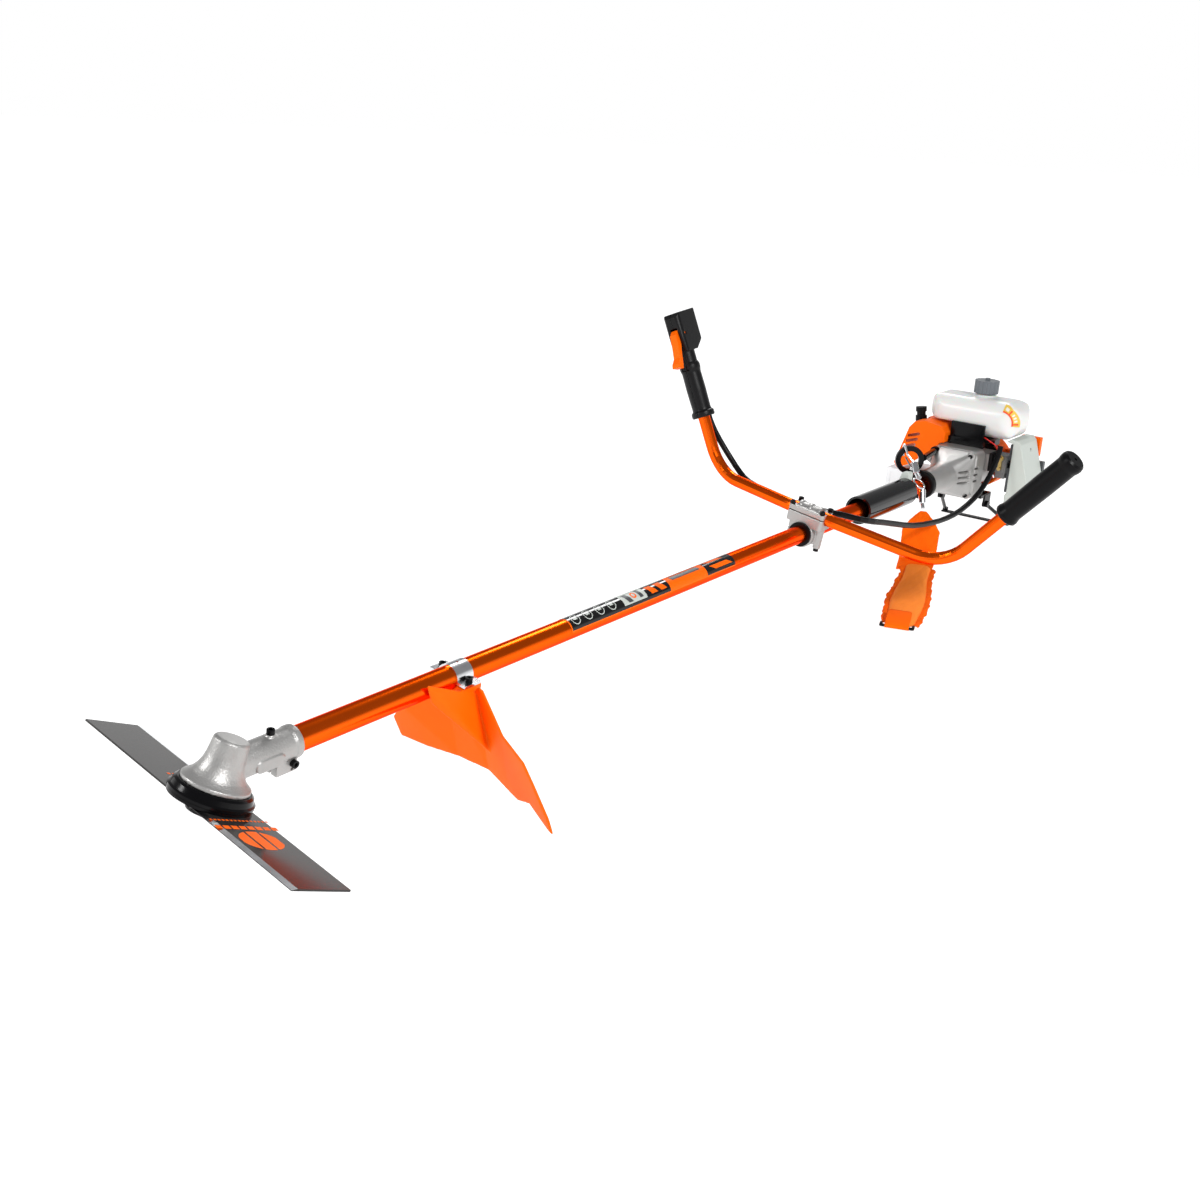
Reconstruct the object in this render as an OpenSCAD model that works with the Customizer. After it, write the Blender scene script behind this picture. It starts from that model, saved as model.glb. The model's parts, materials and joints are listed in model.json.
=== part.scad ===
// Two-stroke brush cutter with a bull handlebar, a straight two-tooth blade,
// a safety guard, a rear engine with a top fuel tank, and a shoulder strap.
// X runs along the shaft towards the blade, Y to the operator's left, Z up.
// The origin is the middle of the stand's foot, on the ground.

/* [Shaft] */
// Height of the shaft's axis above the ground
shaft_h = 130; // [120:1:140]
// Outer diameter of the shaft tube
shaft_d = 28; // [26:0.5:30]
// Wall thickness of the shaft tube
shaft_wall = 1.6; // [1.2:0.1:2]
// Distance from the stand's foot to the handlebar clamp
clamp_x = 755; // [700:5:800]
// Diameter of the drive shaft inside the tube
drive_d = 8; // [7:0.5:10]

/* [Handlebar] */
// Outer diameter of the handlebar tube
bar_d = 20; // [18:0.5:22]
// Height of the handlebar's middle above the shaft's axis
bar_z = 32.9; // [31:0.1:36]
// Angle by which the handlebar and the guard are turned on the shaft
roll = 9; // [0:1:15]

/* [Cutting head] */
// Distance from the stand's foot to the point where the gear axes cross
head_x = 1876; // [1820:2:1900]
// Tilt of the blade back towards the engine
blade_tilt = 23; // [20:1:32]
// Angle by which the cutting head is turned on the shaft
head_roll = 7.4; // [0:0.1:15]
// Length of the blade, tip to tip
blade_l = 362; // [300:2:380]
// Width of the blade
blade_w = 66; // [60:1:90]
// Thickness of the blade
blade_t = 2; // [1.4:0.1:3]
// Distance from the stand's foot to the guard's clamp
guard_x = 1555; // [1500:5:1600]

/* [Engine] */
// Front plane of the square clutch case flange
case_x = 165; // [160:1:175]
// Angle of the cylinder above the horizontal
cyl_tilt = 28; // [20:1:35]
// Bore of the cylinder
bore_d = 40; // [36:1:42]
// Stroke of the piston
stroke = 32; // [28:1:34]

/* [Hidden] */
$fn = 48;

orange = "#f2600c";
dark = "#1c1c1e";
cast = "#b9babc";
steel = "#8d9093";
plated = "#c9b458";

foot_x = 35;                        // the stand's foot in the drawing's own frame
foot_z = 8;
shaft_r = shaft_d / 2;
tube_ir = shaft_r - shaft_wall;
tube_x0 = 300;                      // rear end of the shaft tube
tube_x1 = 1820;                     // front end of the shaft tube
run_gap = 0.06;                     // radial clearance of a running fit
face_gap = 0.4;                     // axial clearance between moving faces

// gears of the cutting head: a bevel pair on axes 116 degrees apart
pinion_z = 14;
gear_z = 19;
gear_module = 1.75;                 // 14 and 19 teeth
axis_angle = 90 + blade_tilt;
pinion_cone = atan(sin(axis_angle) / (gear_z / pinion_z + cos(axis_angle)));
gear_cone = axis_angle - pinion_cone;
cone_len = gear_module * pinion_z / 2 / sin(pinion_cone);

// depths along the blade's axis, measured down from where the gear axes cross
blade_top = -30;
case_foot = -15;
boss_foot = -21;
blade_foot = blade_top - blade_t;

// ---------------------------------------------------------------- helpers

// moves a piece from the drawing's datum to the part's origin, under the stand's foot
module place() {
    translate([-foot_x, 0, -foot_z]) children();
}

// the frame of the pieces that are clamped on the shaft, turned by the roll angle
module on_shaft(x = 0) {
    translate([x, 0, shaft_h]) rotate([-roll, 0, 0]) children();
}

// the frame of the cutting head: Z is the blade's axis, pointing up
module on_head() {
    translate([head_x, 0, shaft_h]) rotate([-head_roll, 0, 0]) rotate([0, -blade_tilt, 0]) children();
}

// the same place with Z along the arm, from the gears back to the tube
module on_arm() {
    translate([head_x, 0, shaft_h]) rotate([-head_roll, 0, 0]) rotate([0, -90, 0]) children();
}

// the engine's crank axis, with Z pointing forward
module on_crank(x = 0) {
    translate([x, 0, shaft_h]) rotate([0, 90, 0]) children();
}

// the cylinder's frame: Z runs from the crank axis out to the head
module on_cylinder() {
    translate([cyl_x, 0, shaft_h]) rotate([90 - cyl_tilt, 0, 0]) children();
}

module ring(r, ri, h) {
    difference() {
        cylinder(r = r, h = h);
        translate([0, 0, -1]) cylinder(r = ri, h = h + 2);
    }
}

// a flat plate with round corners, standing on z = 0
module slab(size, r, h) {
    linear_extrude(h) rounded(size, r);
}

module rounded(size, r) {
    square([size[0], size[1] - 2 * r], center = true);
    square([size[0] - 2 * r, size[1]], center = true);
    for (sx = [-1, 1], sy = [-1, 1])
        translate([sx * (size[0] / 2 - r), sy * (size[1] / 2 - r)]) circle(r);
}

// socket head cap screw with its seat at z = 0 and its shank below
module cap_screw(d, len) {
    difference() {
        union() {
            translate([0, 0, -len]) cylinder(d = d, h = len);
            cylinder(d = 1.7 * d, h = d);
        }
        translate([0, 0, d * 0.45]) cylinder(d = 0.95 * d, h = d, $fn = 6);
    }
}

function unit(v) = v / norm(v);
function cross_turn(a, b) = unit(cross(a, b));

// a frame whose Z runs from one point towards another
module along(a, b) {
    v = b - a;
    translate(a) rotate([0, acos(v[2] / norm(v)), atan2(v[1], v[0])]) children();
}

// a round rod from one point to another
module rod(a, b, d) {
    along(a, b) cylinder(d = d, h = norm(b - a));
}

// a bent round rod through corner points, each bent to the same radius
module bent_rod(p, r, d) {
    swept_tube(rounded_path(p, [for (q = p) r], 4), d, 12, [0.05, 0.1, 1]);
}

// a smooth curve through route points
function curve_point(p, i, t) =
    let (a = p[max(i - 1, 0)], b = p[i], c = p[i + 1], e = p[min(i + 2, len(p) - 1)])
    0.5 * (2 * b + (c - a) * t + (2 * a - 5 * b + 4 * c - e) * t * t
        + (3 * b - a - 3 * c + e) * t * t * t);
function curve(p, steps) = concat(
    [for (i = [0:len(p) - 2], k = [0:steps - 1]) curve_point(p, i, k / steps)],
    [p[len(p) - 1]]);
function tangent(c, i) = unit(c[min(i + 1, len(c) - 1)] - c[max(i - 1, 0)]);

// the rings of points round a path, and the faces that join them
function rings(c, d, sides, ref) = [for (i = [0:len(c) - 1])
    let (t = tangent(c, i), s = cross_turn(t, ref), q = cross(s, t))
    for (k = [0:sides - 1])
        c[i] + d / 2 * (cos(360 * k / sides) * s + sin(360 * k / sides) * q)];
function walls(n, sides, first, flip) = [for (i = [0:n - 2], k = [0:sides - 1])
    let (a = first + i * sides + k, b = first + i * sides + (k + 1) % sides)
    flip ? [a, a + sides, b + sides, b] : [a, b, b + sides, a + sides]];
function lid(n, sides, first, flip) = [for (k = [0:sides - 1])
    first + (flip ? sides - 1 - k : k)];

module swept_tube(path, d, sides, ref) {
    n = len(path);
    polyhedron(rings(path, d, sides, ref),
        concat(walls(n, sides, 0, false), [lid(n, sides, 0, true)],
            [lid(n, sides, (n - 1) * sides, false)]), convexity = 6);
}

// the same with a bore, its two ends closed by rings of quads
module swept_pipe(path, d, di, sides, ref) {
    n = len(path);
    inner = n * sides;
    last = (n - 1) * sides;
    rims = [for (k = [0:sides - 1]) let (k2 = (k + 1) % sides)
        for (side = [0, 1]) side == 0
            ? [k2, k, inner + k, inner + k2]
            : [last + k, last + k2, inner + last + k2, inner + last + k]];
    polyhedron(concat(rings(path, d, sides, ref), rings(path, di, sides, ref)),
        concat(walls(n, sides, 0, false), walls(n, sides, inner, true), rims), convexity = 6);
}

// corner points turned into a path, each corner rounded to the radius in the list
function arc_points(a, b, c, r, n) =
    let (u = unit(b - a), w = unit(c - b), turn = acos(u * w),
        side = cross(cross_turn(u, w), u), start = b - u * r * tan(turn / 2))
    [for (k = [0:n]) let (t = turn * k / n) start + r * (sin(t) * u + (1 - cos(t)) * side)];
function rounded_path(p, radii, n) = concat([p[0]],
    [for (i = [1:len(p) - 2]) each arc_points(p[i - 1], p[i], p[i + 1], radii[i], n)],
    [p[len(p) - 1]]);

// --------------------------------------------------------- shaft and drive

module shaft_tube() {
    place() color(orange) on_crank(tube_x0) ring(shaft_r, tube_ir, tube_x1 - tube_x0);
}

drive_x0 = 240;
drive_x1 = head_x - 8;
module drive_shaft() {
    place() color(steel) on_crank(drive_x0) cylinder(d = drive_d, h = drive_x1 - drive_x0);
}

bush_l = 20;
module shaft_bushes() {
    place() color(dark)
        for (x = [430 : 327 : 1740])
            on_crank(x) ring(tube_ir, drive_d / 2 + run_gap, bush_l);
}

// a bevel gear with its point at the origin and its large end up along Z
tooth_face = 6;
tooth_t = 1.1;
tooth_add = 0.8;
tooth_ded = 1.2;
tooth_root = 0.6;                   // depth by which a tooth is let into its cone
module bevel_gear(count, cone, hub_r, hub_top, turn) {
    flat = cone_len * cos(cone);
    small = cone_len - tooth_face;
    root_r = cone_len * sin(cone) - tooth_ded * cos(cone);
    root_r2 = small * sin(cone) - tooth_ded * cos(cone);
    rotate_extrude()
        polygon([[0, small * cos(cone) + tooth_ded * sin(cone)],
            [root_r2, small * cos(cone) + tooth_ded * sin(cone)],
            [root_r, flat + tooth_ded * sin(cone)],
            [hub_r, flat + tooth_ded * sin(cone) + 1.5], [hub_r, hub_top], [0, hub_top]]);
    for (k = [0:count - 1])
        rotate([0, 0, turn + 360 * k / count]) rotate([0, cone, 0])
            translate([-tooth_ded - tooth_root, -tooth_t / 2, small])
            cube([tooth_add + tooth_ded + tooth_root, tooth_t, tooth_face]);
}

pinion_hub = 27;
module pinion() {
    place() color(steel) on_arm() difference() {
        bevel_gear(pinion_z, pinion_cone, 7, pinion_hub, 0);
        cylinder(d = drive_d, h = 2 * pinion_hub);
    }
}

module output_gear() {
    place() color(steel) on_head() mirror([0, 0, 1]) difference() {
        bevel_gear(gear_z, gear_cone, 9, -boss_foot - 11 - face_gap / 2, 0);
        translate([0, 0, -1]) cylinder(r = out_r, h = 20);
    }
}

// output shaft of the cutting head, in steps from the upper bearing to the thread
out_r = 7.5;
out_top_r = 4;
out_top = 26;
thread_r = 5;
out_foot = -31.4;
shaft_foot = -48;
module output_shaft() {
    place() color(steel) on_head() {
        translate([0, 0, -3]) cylinder(r = out_top_r, h = out_top + 3);
        translate([0, 0, out_foot]) cylinder(r = out_r, h = -3 - out_foot);
        translate([0, 0, shaft_foot]) cylinder(r = thread_r, h = out_foot - shaft_foot);
    }
}

// all the ball bearings: two in the arm, two on the output shaft, two behind
// the clutch drum and two on the crankshaft
small_od = 26;
small_w = 8;
nose_od = 22;
nose_w = 7;
nose_z = 19;
large_od = 35;
large_w = 11;
module ball_bearing(od, id, w) {
    ring(od / 2, id / 2 + run_gap, w);
}
module ball_bearings() {
    place() color(steel) {
        on_head() translate([0, 0, nose_z]) ball_bearing(nose_od, 2 * out_top_r, nose_w);
        on_head() translate([0, 0, boss_foot]) ball_bearing(large_od, 2 * out_r, large_w);
        for (s = [28, 38]) on_arm() translate([0, 0, s]) ball_bearing(small_od, drive_d, small_w);
        for (x = [209, 222]) on_crank(x) ball_bearing(large_od, 2 * drum_r, large_w);
        for (x = [90.5, 138.5]) on_crank(x) ball_bearing(large_od, 2 * crank_r, large_w);
    }
}

// ------------------------------------------------------------ cutting head

arm_r = 16.6;
arm_l = head_x - 1788;
case_r = 34.5;
ring_screw_r = 29.5;
module gear_case() {
    place() color(cast) difference() {
        union() {
            on_head() rotate_extrude()
                polygon([[0, case_foot], [case_r, case_foot], [case_r, -11], [31.5, -9],
                    [27, -5], [23.5, 0], [20.6, 7], [19, 15], [18, 30.5], [15.5, 33], [0, 33]]);
            on_head() translate([0, 0, boss_foot]) cylinder(r = 24, h = 12);
            on_arm() cylinder(r = arm_r, h = arm_l);
            on_arm() translate([0, 0, arm_l - 8]) cylinder(r = arm_r + 1.2, h = 8);
            on_arm() clamp_ears();
            on_arm() translate([arm_r - 4, 0, 58]) rotate([0, 90, 0]) cylinder(r = 5, h = 6);
            on_arm() translate([-3, arm_r - 2.5, 46]) rotate([-90, 0, 0]) slab([13, 34], 6, 4);
        }
        on_head() translate([0, 0, nose_z]) cylinder(d = nose_od, h = nose_w);
        on_head() translate([0, 0, nose_z]) cylinder(r = 6, h = nose_w + 2);
        on_head() translate([0, 0, -10.5]) cylinder(r = 19, h = 9);
        on_head() translate([0, 0, -10.5]) cylinder(r = 9, h = nose_z + 11);
        on_head() translate([0, 0, boss_foot - 1]) cylinder(d = large_od, h = 12);
        on_arm() cylinder(r = 13.8, h = 24);
        on_arm() cylinder(r = 6, h = 70);
        on_arm() translate([0, 0, 24]) cylinder(d = small_od, h = 26);
        on_arm() translate([0, 0, head_x - tube_x1]) cylinder(r = shaft_r, h = 60);
        // the slit that lets the arm pinch the tube, and its two screw holes
        on_arm() translate([-arm_r - 16, -1, arm_l - 34]) cube([arm_r + 6, 2, 40]);
        on_arm() translate([pinch_x, 20, arm_l - pinch_s]) rotate([90, 0, 0])
            cylinder(r = screw_d / 2, h = 40);
        on_arm() translate([-arm_r - 9, 20, arm_l - pinch_s]) rotate([90, 0, 0])
            cylinder(r = 1.6, h = 40);
        on_arm() translate([arm_r - 10, 0, 58]) rotate([0, 90, 0])
            cylinder(r = screw_d / 2, h = 20);
        for (a = [40 : 90 : 310])
            on_head() rotate([0, 0, a]) translate([ring_screw_r, 0, case_foot - 1])
                cylinder(r = 1.8, h = 5);
    }
}

// the pair of ears under the arm that the pinch screw pulls together
pinch_x = -arm_r - 1.8;
pinch_s = 8;
ear_half = 10;
module clamp_ears() {
    translate([-arm_r - 12, -ear_half, arm_l - 28]) cube([16, 2 * ear_half, 26]);
}

ring_r = 42.7;
ring_foot = -26.5;
module anti_wrap_ring() {
    place() color(dark) on_head() difference() {
        rotate_extrude()
            polygon([[24, case_foot], [36.5, case_foot], [39, -17], [40.5, -22], [ring_r, -23.5],
                [ring_r, ring_foot], [ring_r - 3, ring_foot], [ring_r - 4.5, -18], [24, -18]]);
        for (a = [40 : 90 : 310])
            rotate([0, 0, a]) translate([ring_screw_r, 0, -20]) cylinder(r = 1.8, h = 12);
    }
}

holder_top = boss_foot - face_gap;
module blade_holder() {
    place() color(dark) on_head() difference() {
        union() {
            translate([0, 0, blade_top]) cylinder(r = ring_r - 0.5, h = 3);
            translate([0, 0, blade_top]) cylinder(r = 36, h = 5.4);
            translate([0, 0, blade_top]) cylinder(r = 11, h = holder_top - blade_top);
            translate([0, 0, blade_top - blade_t]) cylinder(r = 12.7, h = blade_t + 1);
        }
        translate([0, 0, blade_top + 5.4]) ring(30, 11, 20);
        translate([0, 0, -60]) cylinder(r = out_r, h = 60);
    }
}

blade_turn = 83.6;
module blade() {
    place() color("#3a3b3d") on_head() rotate([0, 0, blade_turn]) translate([0, 0, blade_top - blade_t])
        difference() {
            linear_extrude(blade_t) blade_outline();
            translate([0, 0, -1]) cylinder(r = 12.7, h = 10);
        }
}

// a straight bar with its ends cut at a slight slant
blade_slant = 1;
module blade_outline() {
    l = blade_l / 2;
    w = blade_w / 2;
    polygon([[-l - blade_slant, -w], [l - blade_slant, -w], [l + blade_slant, w],
        [-l + blade_slant, w]]);
}

module blade_washer() {
    place() color(steel) on_head() translate([0, 0, blade_foot - 3]) ring(17, out_r, 3);
}

module blade_cup() {
    place() color(dark) on_head() difference() {
        rotate_extrude()
            polygon([[thread_r, -35], [17.5, -35], [19.5, -37], [20.3, -40], [19.5, -42.6],
                [14.5, -43.6], [12.8, -42], [11.5, -38], [thread_r, -38]]);
        translate([0, 0, -60]) cylinder(r = thread_r, h = 30);
    }
}

module blade_nut() {
    place() color(steel) on_head() translate([0, 0, -45.4]) difference() {
        cylinder(d = 19.6, h = 7.4, $fn = 6);
        translate([0, 0, -1]) cylinder(r = thread_r, h = 12);
    }
}

// ------------------------------------------------------------------ guard

guard_t = 3;
module guard_panel(p) {
    hull() for (q = p) translate(q) sphere(d = guard_t, $fn = 10);
}

// a wide apron across the shaft, its left side drawn out to a narrow tip, and a
// gusset in front of it
module guard() {
    place() color(orange) difference() {
        union() {
            on_shaft(guard_x) translate([-18, -26, -17]) cube([31, 52, 14]);
            guard_panel([[1547, -22, 112], [1547, 27, 116], [1541, 42, 20], [1536, -11, 18]]);
            guard_panel([[1547, -22, 112], [1549, -92, 62], [1541, -113, 37], [1535, -106, 13],
                [1536, -61, 14], [1536, -11, 18]]);
            guard_panel([[1547, 27, 116], [1552, 35, 126], [1563, 80, 82], [1556, 87, 14],
                [1541, 42, 20]]);
            guard_panel([[1563, 80, 82], [1580, 125, 71], [1584, 141, 56], [1576, 133, 24],
                [1563, 105, 13], [1556, 87, 14]]);
            guard_panel([[1584, 141, 56], [1586, 153, 35], [1592, 172, 25], [1593, 179, 11],
                [1588, 170, 11], [1576, 133, 24]]);
            guard_panel([[1617, 17.6, 140], [1610, 17.6, 118], [1546, 50, 45], [1548, 26, 110]]);
        }
        on_shaft(guard_x - 60) rotate([0, 90, 0]) cylinder(r = shaft_r, h = 140);
        on_shaft(guard_x - 60) translate([0, -40, -2.2]) cube([140, 55.5, 40]);
        on_shaft(guard_x - 14) translate([0, 0, -2.2]) cube([28, 40, 40]);
        for (s = [-1, 1])
            on_shaft(guard_x) translate([0, s * guard_ear_y, -20]) cylinder(d = screw_d, h = 60);
    }
}

guard_ear_y = 21;
module guard_clamp() {
    place() color(cast) on_shaft(guard_x) difference() {
        union() {
            translate([-13, 0, 0]) rotate([0, 90, 0]) cylinder(r = shaft_r + 2, h = 26);
            translate([-13, -28, -2]) cube([26, 56, 3]);
        }
        translate([-20, 0, 0]) rotate([0, 90, 0]) cylinder(r = shaft_r, h = 40);
        translate([-20, -40, -40]) cube([40, 80, 38]);
        for (s = [-1, 1]) translate([0, s * guard_ear_y, -10]) cylinder(d = screw_d, h = 20);
        cylinder(r = 1.5, h = 30);
    }
}

// -------------------------------------------------------------- handlebar

// corner points of the bar's left half, from the clamp's middle
bar_straight = 38;
bar_corner = [-62.9, 209.7, 11.6];
bar_end = [-53.2, 349, 237];
function right_side(p) = [p[0], -p[1], p[2]];
bar_dir = unit(bar_end - bar_corner);
left_stop = 4;                      // the bar ends this far inside the plain grip
handle_drop = 9;                    // the throttle handle sits this far down the bar
right_stop = 36;                    // and the bar ends this far inside its housing
elbow_r = 70;
clamp_bend_r = 60;

bar_path = [
    right_side(bar_end - bar_dir * (right_stop + handle_drop)), right_side(bar_corner),
    [0, -bar_straight, bar_z], [0, bar_straight, bar_z],
    bar_corner, bar_end - bar_dir * left_stop];
bar_radii = [0, elbow_r, clamp_bend_r, clamp_bend_r, elbow_r, 0];
bar_wall = 1.5;

module handlebar() {
    place() color(orange) on_shaft(clamp_x)
        swept_pipe(rounded_path(bar_path, bar_radii, 8), bar_d, bar_d - 2 * bar_wall, 20, [1, 0, 0]);
}

// the frame of a handle: Z runs down the bar from its end, and -Y is forward
module on_left_handle() {
    on_shaft(clamp_x) along(bar_end, bar_corner) children();
}
module on_right_handle() {
    on_shaft(clamp_x) along(right_side(bar_end), right_side(bar_corner))
        translate([0, 0, handle_drop]) children();
}

clamp_w = 34;
clamp_l = 64;
clamp_hole_x = 10.5;
clamp_hole_y = 25;
screw_d = 5;
bush_r = 17;
module clamp_block(z0, z1) {
    translate([0, 0, z0]) slab([clamp_w, clamp_l], 6, z1 - z0);
}
module clamp_holes() {
    rotate([90, 0, 0]) translate([0, bar_z, -50]) cylinder(d = bar_d, h = 100);
    for (sx = [-1, 1], sy = [-1, 1])
        translate([sx * (clamp_w / 2 - 4), sy * (clamp_l / 2 - 5), 0])
            cylinder(r = screw_d / 2, h = 80);
}
module clamp_base() {
    place() color(cast) on_shaft(clamp_x) difference() {
        union() {
            clamp_block(15, bar_z - 0.5);
            translate([-clamp_w / 2, 0, 0]) rotate([0, 90, 0]) cylinder(r = 21.5, h = clamp_w);
            for (s = [-1, 1])
                translate([0, s * clamp_hole_y, -18]) cylinder(r = 6, h = 34);
            for (s = [-1, 1])
                translate([-7, s * 20 - 5, -12]) cube([14, 10, 28]);
        }
        clamp_holes();
        translate([-50, 0, 0]) rotate([0, 90, 0]) cylinder(r = bush_r, h = 100);
        for (s = [-1, 1])
            translate([0, s * clamp_hole_y, -19]) cylinder(r = screw_d / 2, h = 27);
        // the parting slit through the collar
        translate([-50, -40, -1]) cube([100, 26, 2]);
    }
}

module clamp_cap() {
    place() color(cast) on_shaft(clamp_x) difference() {
        union() {
            clamp_block(bar_z + 0.5, bar_z + 9);
            rotate([90, 0, 0]) translate([0, bar_z, -20]) cylinder(r = 14, h = 40);
            for (y = [-17, 0, 17])
                rotate([90, 0, 0]) translate([0, bar_z, y - 2.5]) cylinder(r = 15.2, h = 5);
        }
        clamp_holes();
        translate([-50, -50, bar_z - 49.5]) cube([100, 100, 50]);
    }
}

module clamp_bush() {
    place() color(dark) on_shaft(clamp_x) translate([-20, 0, 0]) rotate([0, 90, 0]) {
        ring(bush_r, shaft_r, 40);
        for (z = [0, 37]) translate([0, 0, z]) ring(19.5, shaft_r, 3);
    }
}

grip_l = 135;
module plain_grip() {
    place() color(dark) on_left_handle() difference() {
        rotate_extrude()
            polygon([[0, -2], [14.5, -2], [17.2, 0.5], [18.4, 5], [18.2, 9], [16.9, 15],
                [17.2, 60], [16.6, 120], [17.4, 125], [18.6, 129], [18.4, 133],
                [16.5, grip_l], [0, grip_l]]);
        translate([0, 0, left_stop]) cylinder(d = bar_d, h = grip_l);
        translate([0, 0, -5]) cylinder(r = 2.5, h = 20);
    }
}

// ------------------------------------------------------- throttle handle

head_w = 30;
head_mid = 12;                      // middle and length of the head from front to back
head_l = 64;
grip_foot = 157;
pivot = [0, -8, 14];                // the trigger's pin
lock_pivot = [0, 14.5, 48];
button_z = 20;
module throttle_shape() {
    intersection() {
        translate([0, head_mid, -40]) slab([head_w, head_l], 9, 100);
        extrude_x(-head_w, head_w)
            polygon([[-20, -14], [-12, -21], [38, -24], [43, -18], [44, 18], [40, 28], [18, 44],
                [-16, 44]]);
    }
    translate([0, 0, 20]) cylinder(r = 15, h = 60);
    rotate_extrude()
        polygon([[0, 64], [16, 64], [17.6, 69], [17.4, 74], [16, 80], [16.4, 110], [15.8, 143],
            [16.5, 146], [19.3, 148], [19.6, 154], [18.6, grip_foot], [0, grip_foot]]);
    translate([0, 17, 150]) cylinder(r = 8.5, h = 7);
}
module throttle_shell() {
    difference() {
        throttle_shape();
        translate([0, 0, right_stop]) cylinder(d = bar_d, h = 200);
        translate([-10, -12, -17]) cube([20, 43, 45]);
        translate([-6.6, -50, 4]) cube([13.2, 38.5, 72]);
        translate([-6.6, -50, 4]) cube([13.2, 50, 20]);
        translate([-5.6, 9, 46]) cube([11.2, 20, 51]);
        translate([0, 20, button_z]) rotate([-90, 0, 0]) cylinder(r = 4.3, h = 40);
        translate([-20, 0, 0] + pivot) rotate([0, 90, 0]) cylinder(r = 2.5 + run_gap, h = 40);
        translate([0, 17, 100]) cylinder(r = 5.4, h = 80);
    }
}
module throttle_housing() {
    place() color(dark) on_right_handle() intersection() {
        throttle_shell();
        translate([0.1, -100, -100]) cube([100, 200, 400]);
    }
}
module throttle_housing_lid() {
    place() color(dark) on_right_handle() intersection() {
        throttle_shell();
        translate([-100.1, -100, -100]) cube([100, 200, 400]);
    }
}

module trigger() {
    place() color(orange) on_right_handle() {
        translate([-6, 0, 0]) rotate([90, 0, 90]) linear_extrude(12)
            polygon([[-3, 10], [-6, 17], [-13, 24], [-21, 42], [-27, 64], [-30, 70], [-45, 67],
                [-43, 61], [-33, 52], [-28, 32], [-25, 14], [-16, 7]]);
        translate([-12.5, 0, 0] + pivot) rotate([0, 90, 0]) cylinder(r = 2.5, h = 25);
    }
}

module trigger_lock() {
    place() color(orange) on_right_handle() {
        translate([-5, 0, 0]) rotate([90, 0, 90]) linear_extrude(10)
            polygon([[13, 47], [16, 47], [18.6, 62], [19, 86], [16.5, 95], [15.6, 90],
                [15.2, 62]]);
        translate([-5, 0, 0] + lock_pivot) rotate([0, 90, 0]) cylinder(r = 2, h = 10);
    }
}

module stop_switch() {
    place() color(orange) on_right_handle() translate([0, 37, button_z]) rotate([-90, 0, 0])
        cylinder(r = 4, h = 8);
}

// the black sleeve that holds the throttle cable and the stop wires, from the
// throttle handle, behind the bar and the clamp, to the carburettor
conduit_d = 10;
conduit_route = [[679, -247.4, 272.3], [678.4, -241.8, 258.8], [676, -231, 239],
    [672, -215, 216], [670, -198, 196], [671, -179, 178], [677, -156, 167],
    [696, -104, 161], [712, -54, 159], [716, 0, 158], [706, 34, 156],
    [682, 54, 148], [645, 61, 138], [600, 61, 127], [550, 61, 114], [480, 61, 97],
    [402, 61, 86], [340, 62, 82], [285, 64, 86], [233, 67, 100], [198, 70, 121],
    [172, 72, 147], [158, 73, 170], [153, 73, 188]];
module throttle_conduit() {
    place() color(dark) swept_tube(curve(conduit_route, 2), conduit_d, 10, [0.05, 0.1, 1]);
}

// ---------------------------------------------------------------- harness

sleeve_x0 = 395;
sleeve_x1 = 575;
module shaft_sleeve() {
    place() color(dark) on_crank(sleeve_x0) difference() {
        cylinder(r = 24, h = sleeve_x1 - sleeve_x0);
        translate([0, 0, -1]) cylinder(r = shaft_r, h = 300);
        translate([0, 0, 14]) cylinder(r = 20.5, h = 300);
    }
}

// the arm that carries the strap hook, held under a corner screw of the clutch case;
// it ends in a broad ring that faces forward and to the left
arm_foot = [197, -35, shaft_h + 37];
eye = [319, -32, 169.5];
eye_yaw = 37;
eye_r = 26;
eye_in = 16.5;
eye_t = 7;
module on_eye() {
    translate(eye) rotate([0, 0, eye_yaw]) rotate([0, 90, 0]) children();
}
module hanger_bracket() {
    place() color(dark) difference() {
        union() {
            translate(arm_foot) rotate([0, 90, 0]) cylinder(r = 8.5, h = 6);
            rod(arm_foot + [4, 0, 0], [304, -12, 174], 12);
            on_eye() translate([0, 0, -eye_t / 2]) cylinder(r = eye_r, h = eye_t);
        }
        on_eye() translate([0, 0, -20]) cylinder(r = eye_in, h = 40);
        translate(arm_foot - [20, 0, 0]) rotate([0, 90, 0]) cylinder(d = screw_d, h = 60);
        translate(arm_foot + [6, 0, 0]) rotate([0, 90, 0]) cylinder(r = 5.5, h = 9);
    }
}

// the snap hook over the ring's rim, its body, its D-ring and its swivel barrel
hook_apex = [332, -39, 198];
hook_route = [[320, -44.5, 175], [322, -45.5, 195], hook_apex, [335, -30, 182],
    [332, -16, 168]];
gate_pin = [334, -19, 157];
body_top = [333, -15, 168];
body_mid = [344, -4, 154];
body_foot = [354, 6, 149];
module snap_hook() {
    place() color(steel) {
        bent_rod(hook_route, 3, 4);
        rod(body_top, body_mid, 12);
        rod(body_mid, body_foot, 9);
        translate([371, 14.5, 143]) rotate([-38, 0, 0]) rotate([90, 0, 0]) rotate([-90, 0, 0])
            rotate_extrude() translate([12, 0]) circle(d = 3.5);
        rod([372, 22.5, 133], [380, 29, 112], 13);
        rod([380, 29, 112], [387, 35, 103.5], 7);
    }
}

// the sprung gate that closes the hook's mouth, on its cross pin
gate_d = 3;
module hook_gate() {
    place() color(steel) {
        rod([322, -38.5, 173], gate_pin, gate_d);
        translate(gate_pin - [0, 3, 0]) rotate([-90, 0, 0]) cylinder(r = 2.2, h = 6);
    }
}

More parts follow.
